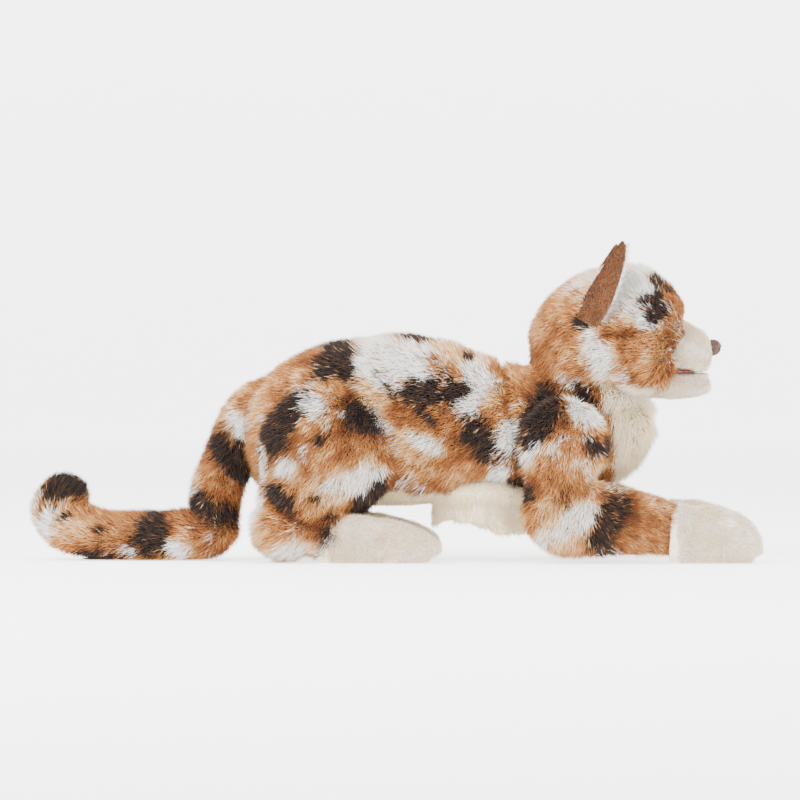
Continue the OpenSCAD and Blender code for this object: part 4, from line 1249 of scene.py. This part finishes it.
pocket = {"inset": 0.0004, "wall": 0.0009,
          "fingers": [(.02, .30, .98, .80), (.10, .10, 1.0, .95), (.35, .02, 1.0, 1.0), (.62, .0, .98, .92),
                      (.82, .0, .90, .74), (.95, .06, .78, .50), (1.0, .2, .64, .28)],
          "thumb": [(.0, .0, .96, .95), (.3, .0, .96, 1.0), (.7, .0, .94, .96), (.9, .08, .86, .76),
                    (1.0, .25, .68, .4)]}
piece = newThing("finger_pocket", loft(rowsIn("hand_pocket", pocket["fingers"]), pocket["inset"], 48, 5))
cutAway(piece, outOfHandWay(pointsOf(piece.data), -0.002), pocket["wall"])
dress(piece, liningFinish, "head", ["hand_pocket"])
piece = newThing("thumb_cover", loft(rowsIn("thumb_pocket", pocket["thumb"]), pocket["inset"], 32, 5))
dress(piece, liningFinish, "jaw", ["thumb_pocket"])
print("sleeve and pockets done")

# room, light and camera

stage = {"reach": 4.4, "bend": 0.9, "rise": 2.6, "around": 72}
reach, bend, n = stage["reach"], stage["bend"], stage["around"]
profile = [(reach * t, 0.0) for t in (0.05, 0.3, 0.65)]
profile += [(reach + bend * math.sin(t), bend * (1 - math.cos(t))) for t in np.linspace(0, math.pi / 2, 16)]
profile.append((reach + bend, stage["rise"]))
turns = np.linspace(0, 2 * math.pi, n, endpoint=False)
verts = [(r * math.cos(a), r * math.sin(a), z - 0.0001) for r, z in profile for a in turns]
faces = [(i * n + k, (i + 1) * n + k, (i + 1) * n + (k + 1) % n, i * n + (k + 1) % n)
         for i in range(len(profile) - 1) for k in range(n)]
faces += [(len(verts), k, (k + 1) % n) for k in range(n)]
floor = newThing("studio_floor", meshOf("studio_floor", verts + [(0, 0, -0.0001)], faces))
floor.data.materials.append(finish("studio_paper", None, Base_Color=(0.94, 0.94, 0.94, 1), Roughness=0.95,
                                   Specular_IOR_Level=0.1,
                                     Emission_Color=(1, 1, 1, 1), Emission_Strength=2.0))
floor.data.shade_smooth()


def lamp(name, place, target, size, power, colour=(1, 1, 1)):
    light = bpy.data.lights.new(name, "AREA")
    light.shape, light.size, light.energy, light.color = "DISK", size, power, colour
    thing = bpy.data.objects.new(name, light)
    thing.location = place
    thing.rotation_mode = "QUATERNION"
    thing.rotation_quaternion = (Vector(target) - Vector(place)).to_track_quat("-Z", "Y")
    bpy.context.scene.collection.objects.link(thing)


lamp("key_light", (-0.75, -1.15, 1.35), (0, 0, 0.1), 1.1, 48)
lamp("fill_light", (1.3, -1.0, 0.8), (0.05, 0, 0.1), 1.3, 18)
lamp("top_light", (0, 0.2, 1.7), (0, 0, 0), 1.6, 30)
world = bpy.data.worlds.new("studio")
world.use_nodes = True
background = world.node_tree.nodes["Background"].inputs
background["Color"].default_value, background["Strength"].default_value = (1, 1, 1, 1), 1.5
bpy.context.scene.world = world

lens = {"length": 200, "sensor": 36, "width": 0.6, "elevation": math.radians(0.7)}
target = Vector(((cadLow.x + cadHigh.x) / 2 + 0.0045, (cadLow.y + cadHigh.y) / 2 - 0.02, cadHigh.z * 0.51))
distance = lens["width"] * lens["length"] / lens["sensor"]
camera = bpy.data.objects.new("camera", bpy.data.cameras.new("camera"))
camera.data.lens, camera.data.sensor_width, camera.data.dof.use_dof = lens["length"], lens["sensor"], False
back = Vector((0, -math.cos(lens["elevation"]), math.sin(lens["elevation"])))
camera.location = target + back * distance
camera.rotation_mode = "QUATERNION"
camera.rotation_quaternion = (-back).to_track_quat("-Z", "Y")
bpy.context.scene.collection.objects.link(camera)
bpy.context.scene.camera = camera

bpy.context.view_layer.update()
largest = sorted(grown.items(), key=lambda g: -g[1])[:4]
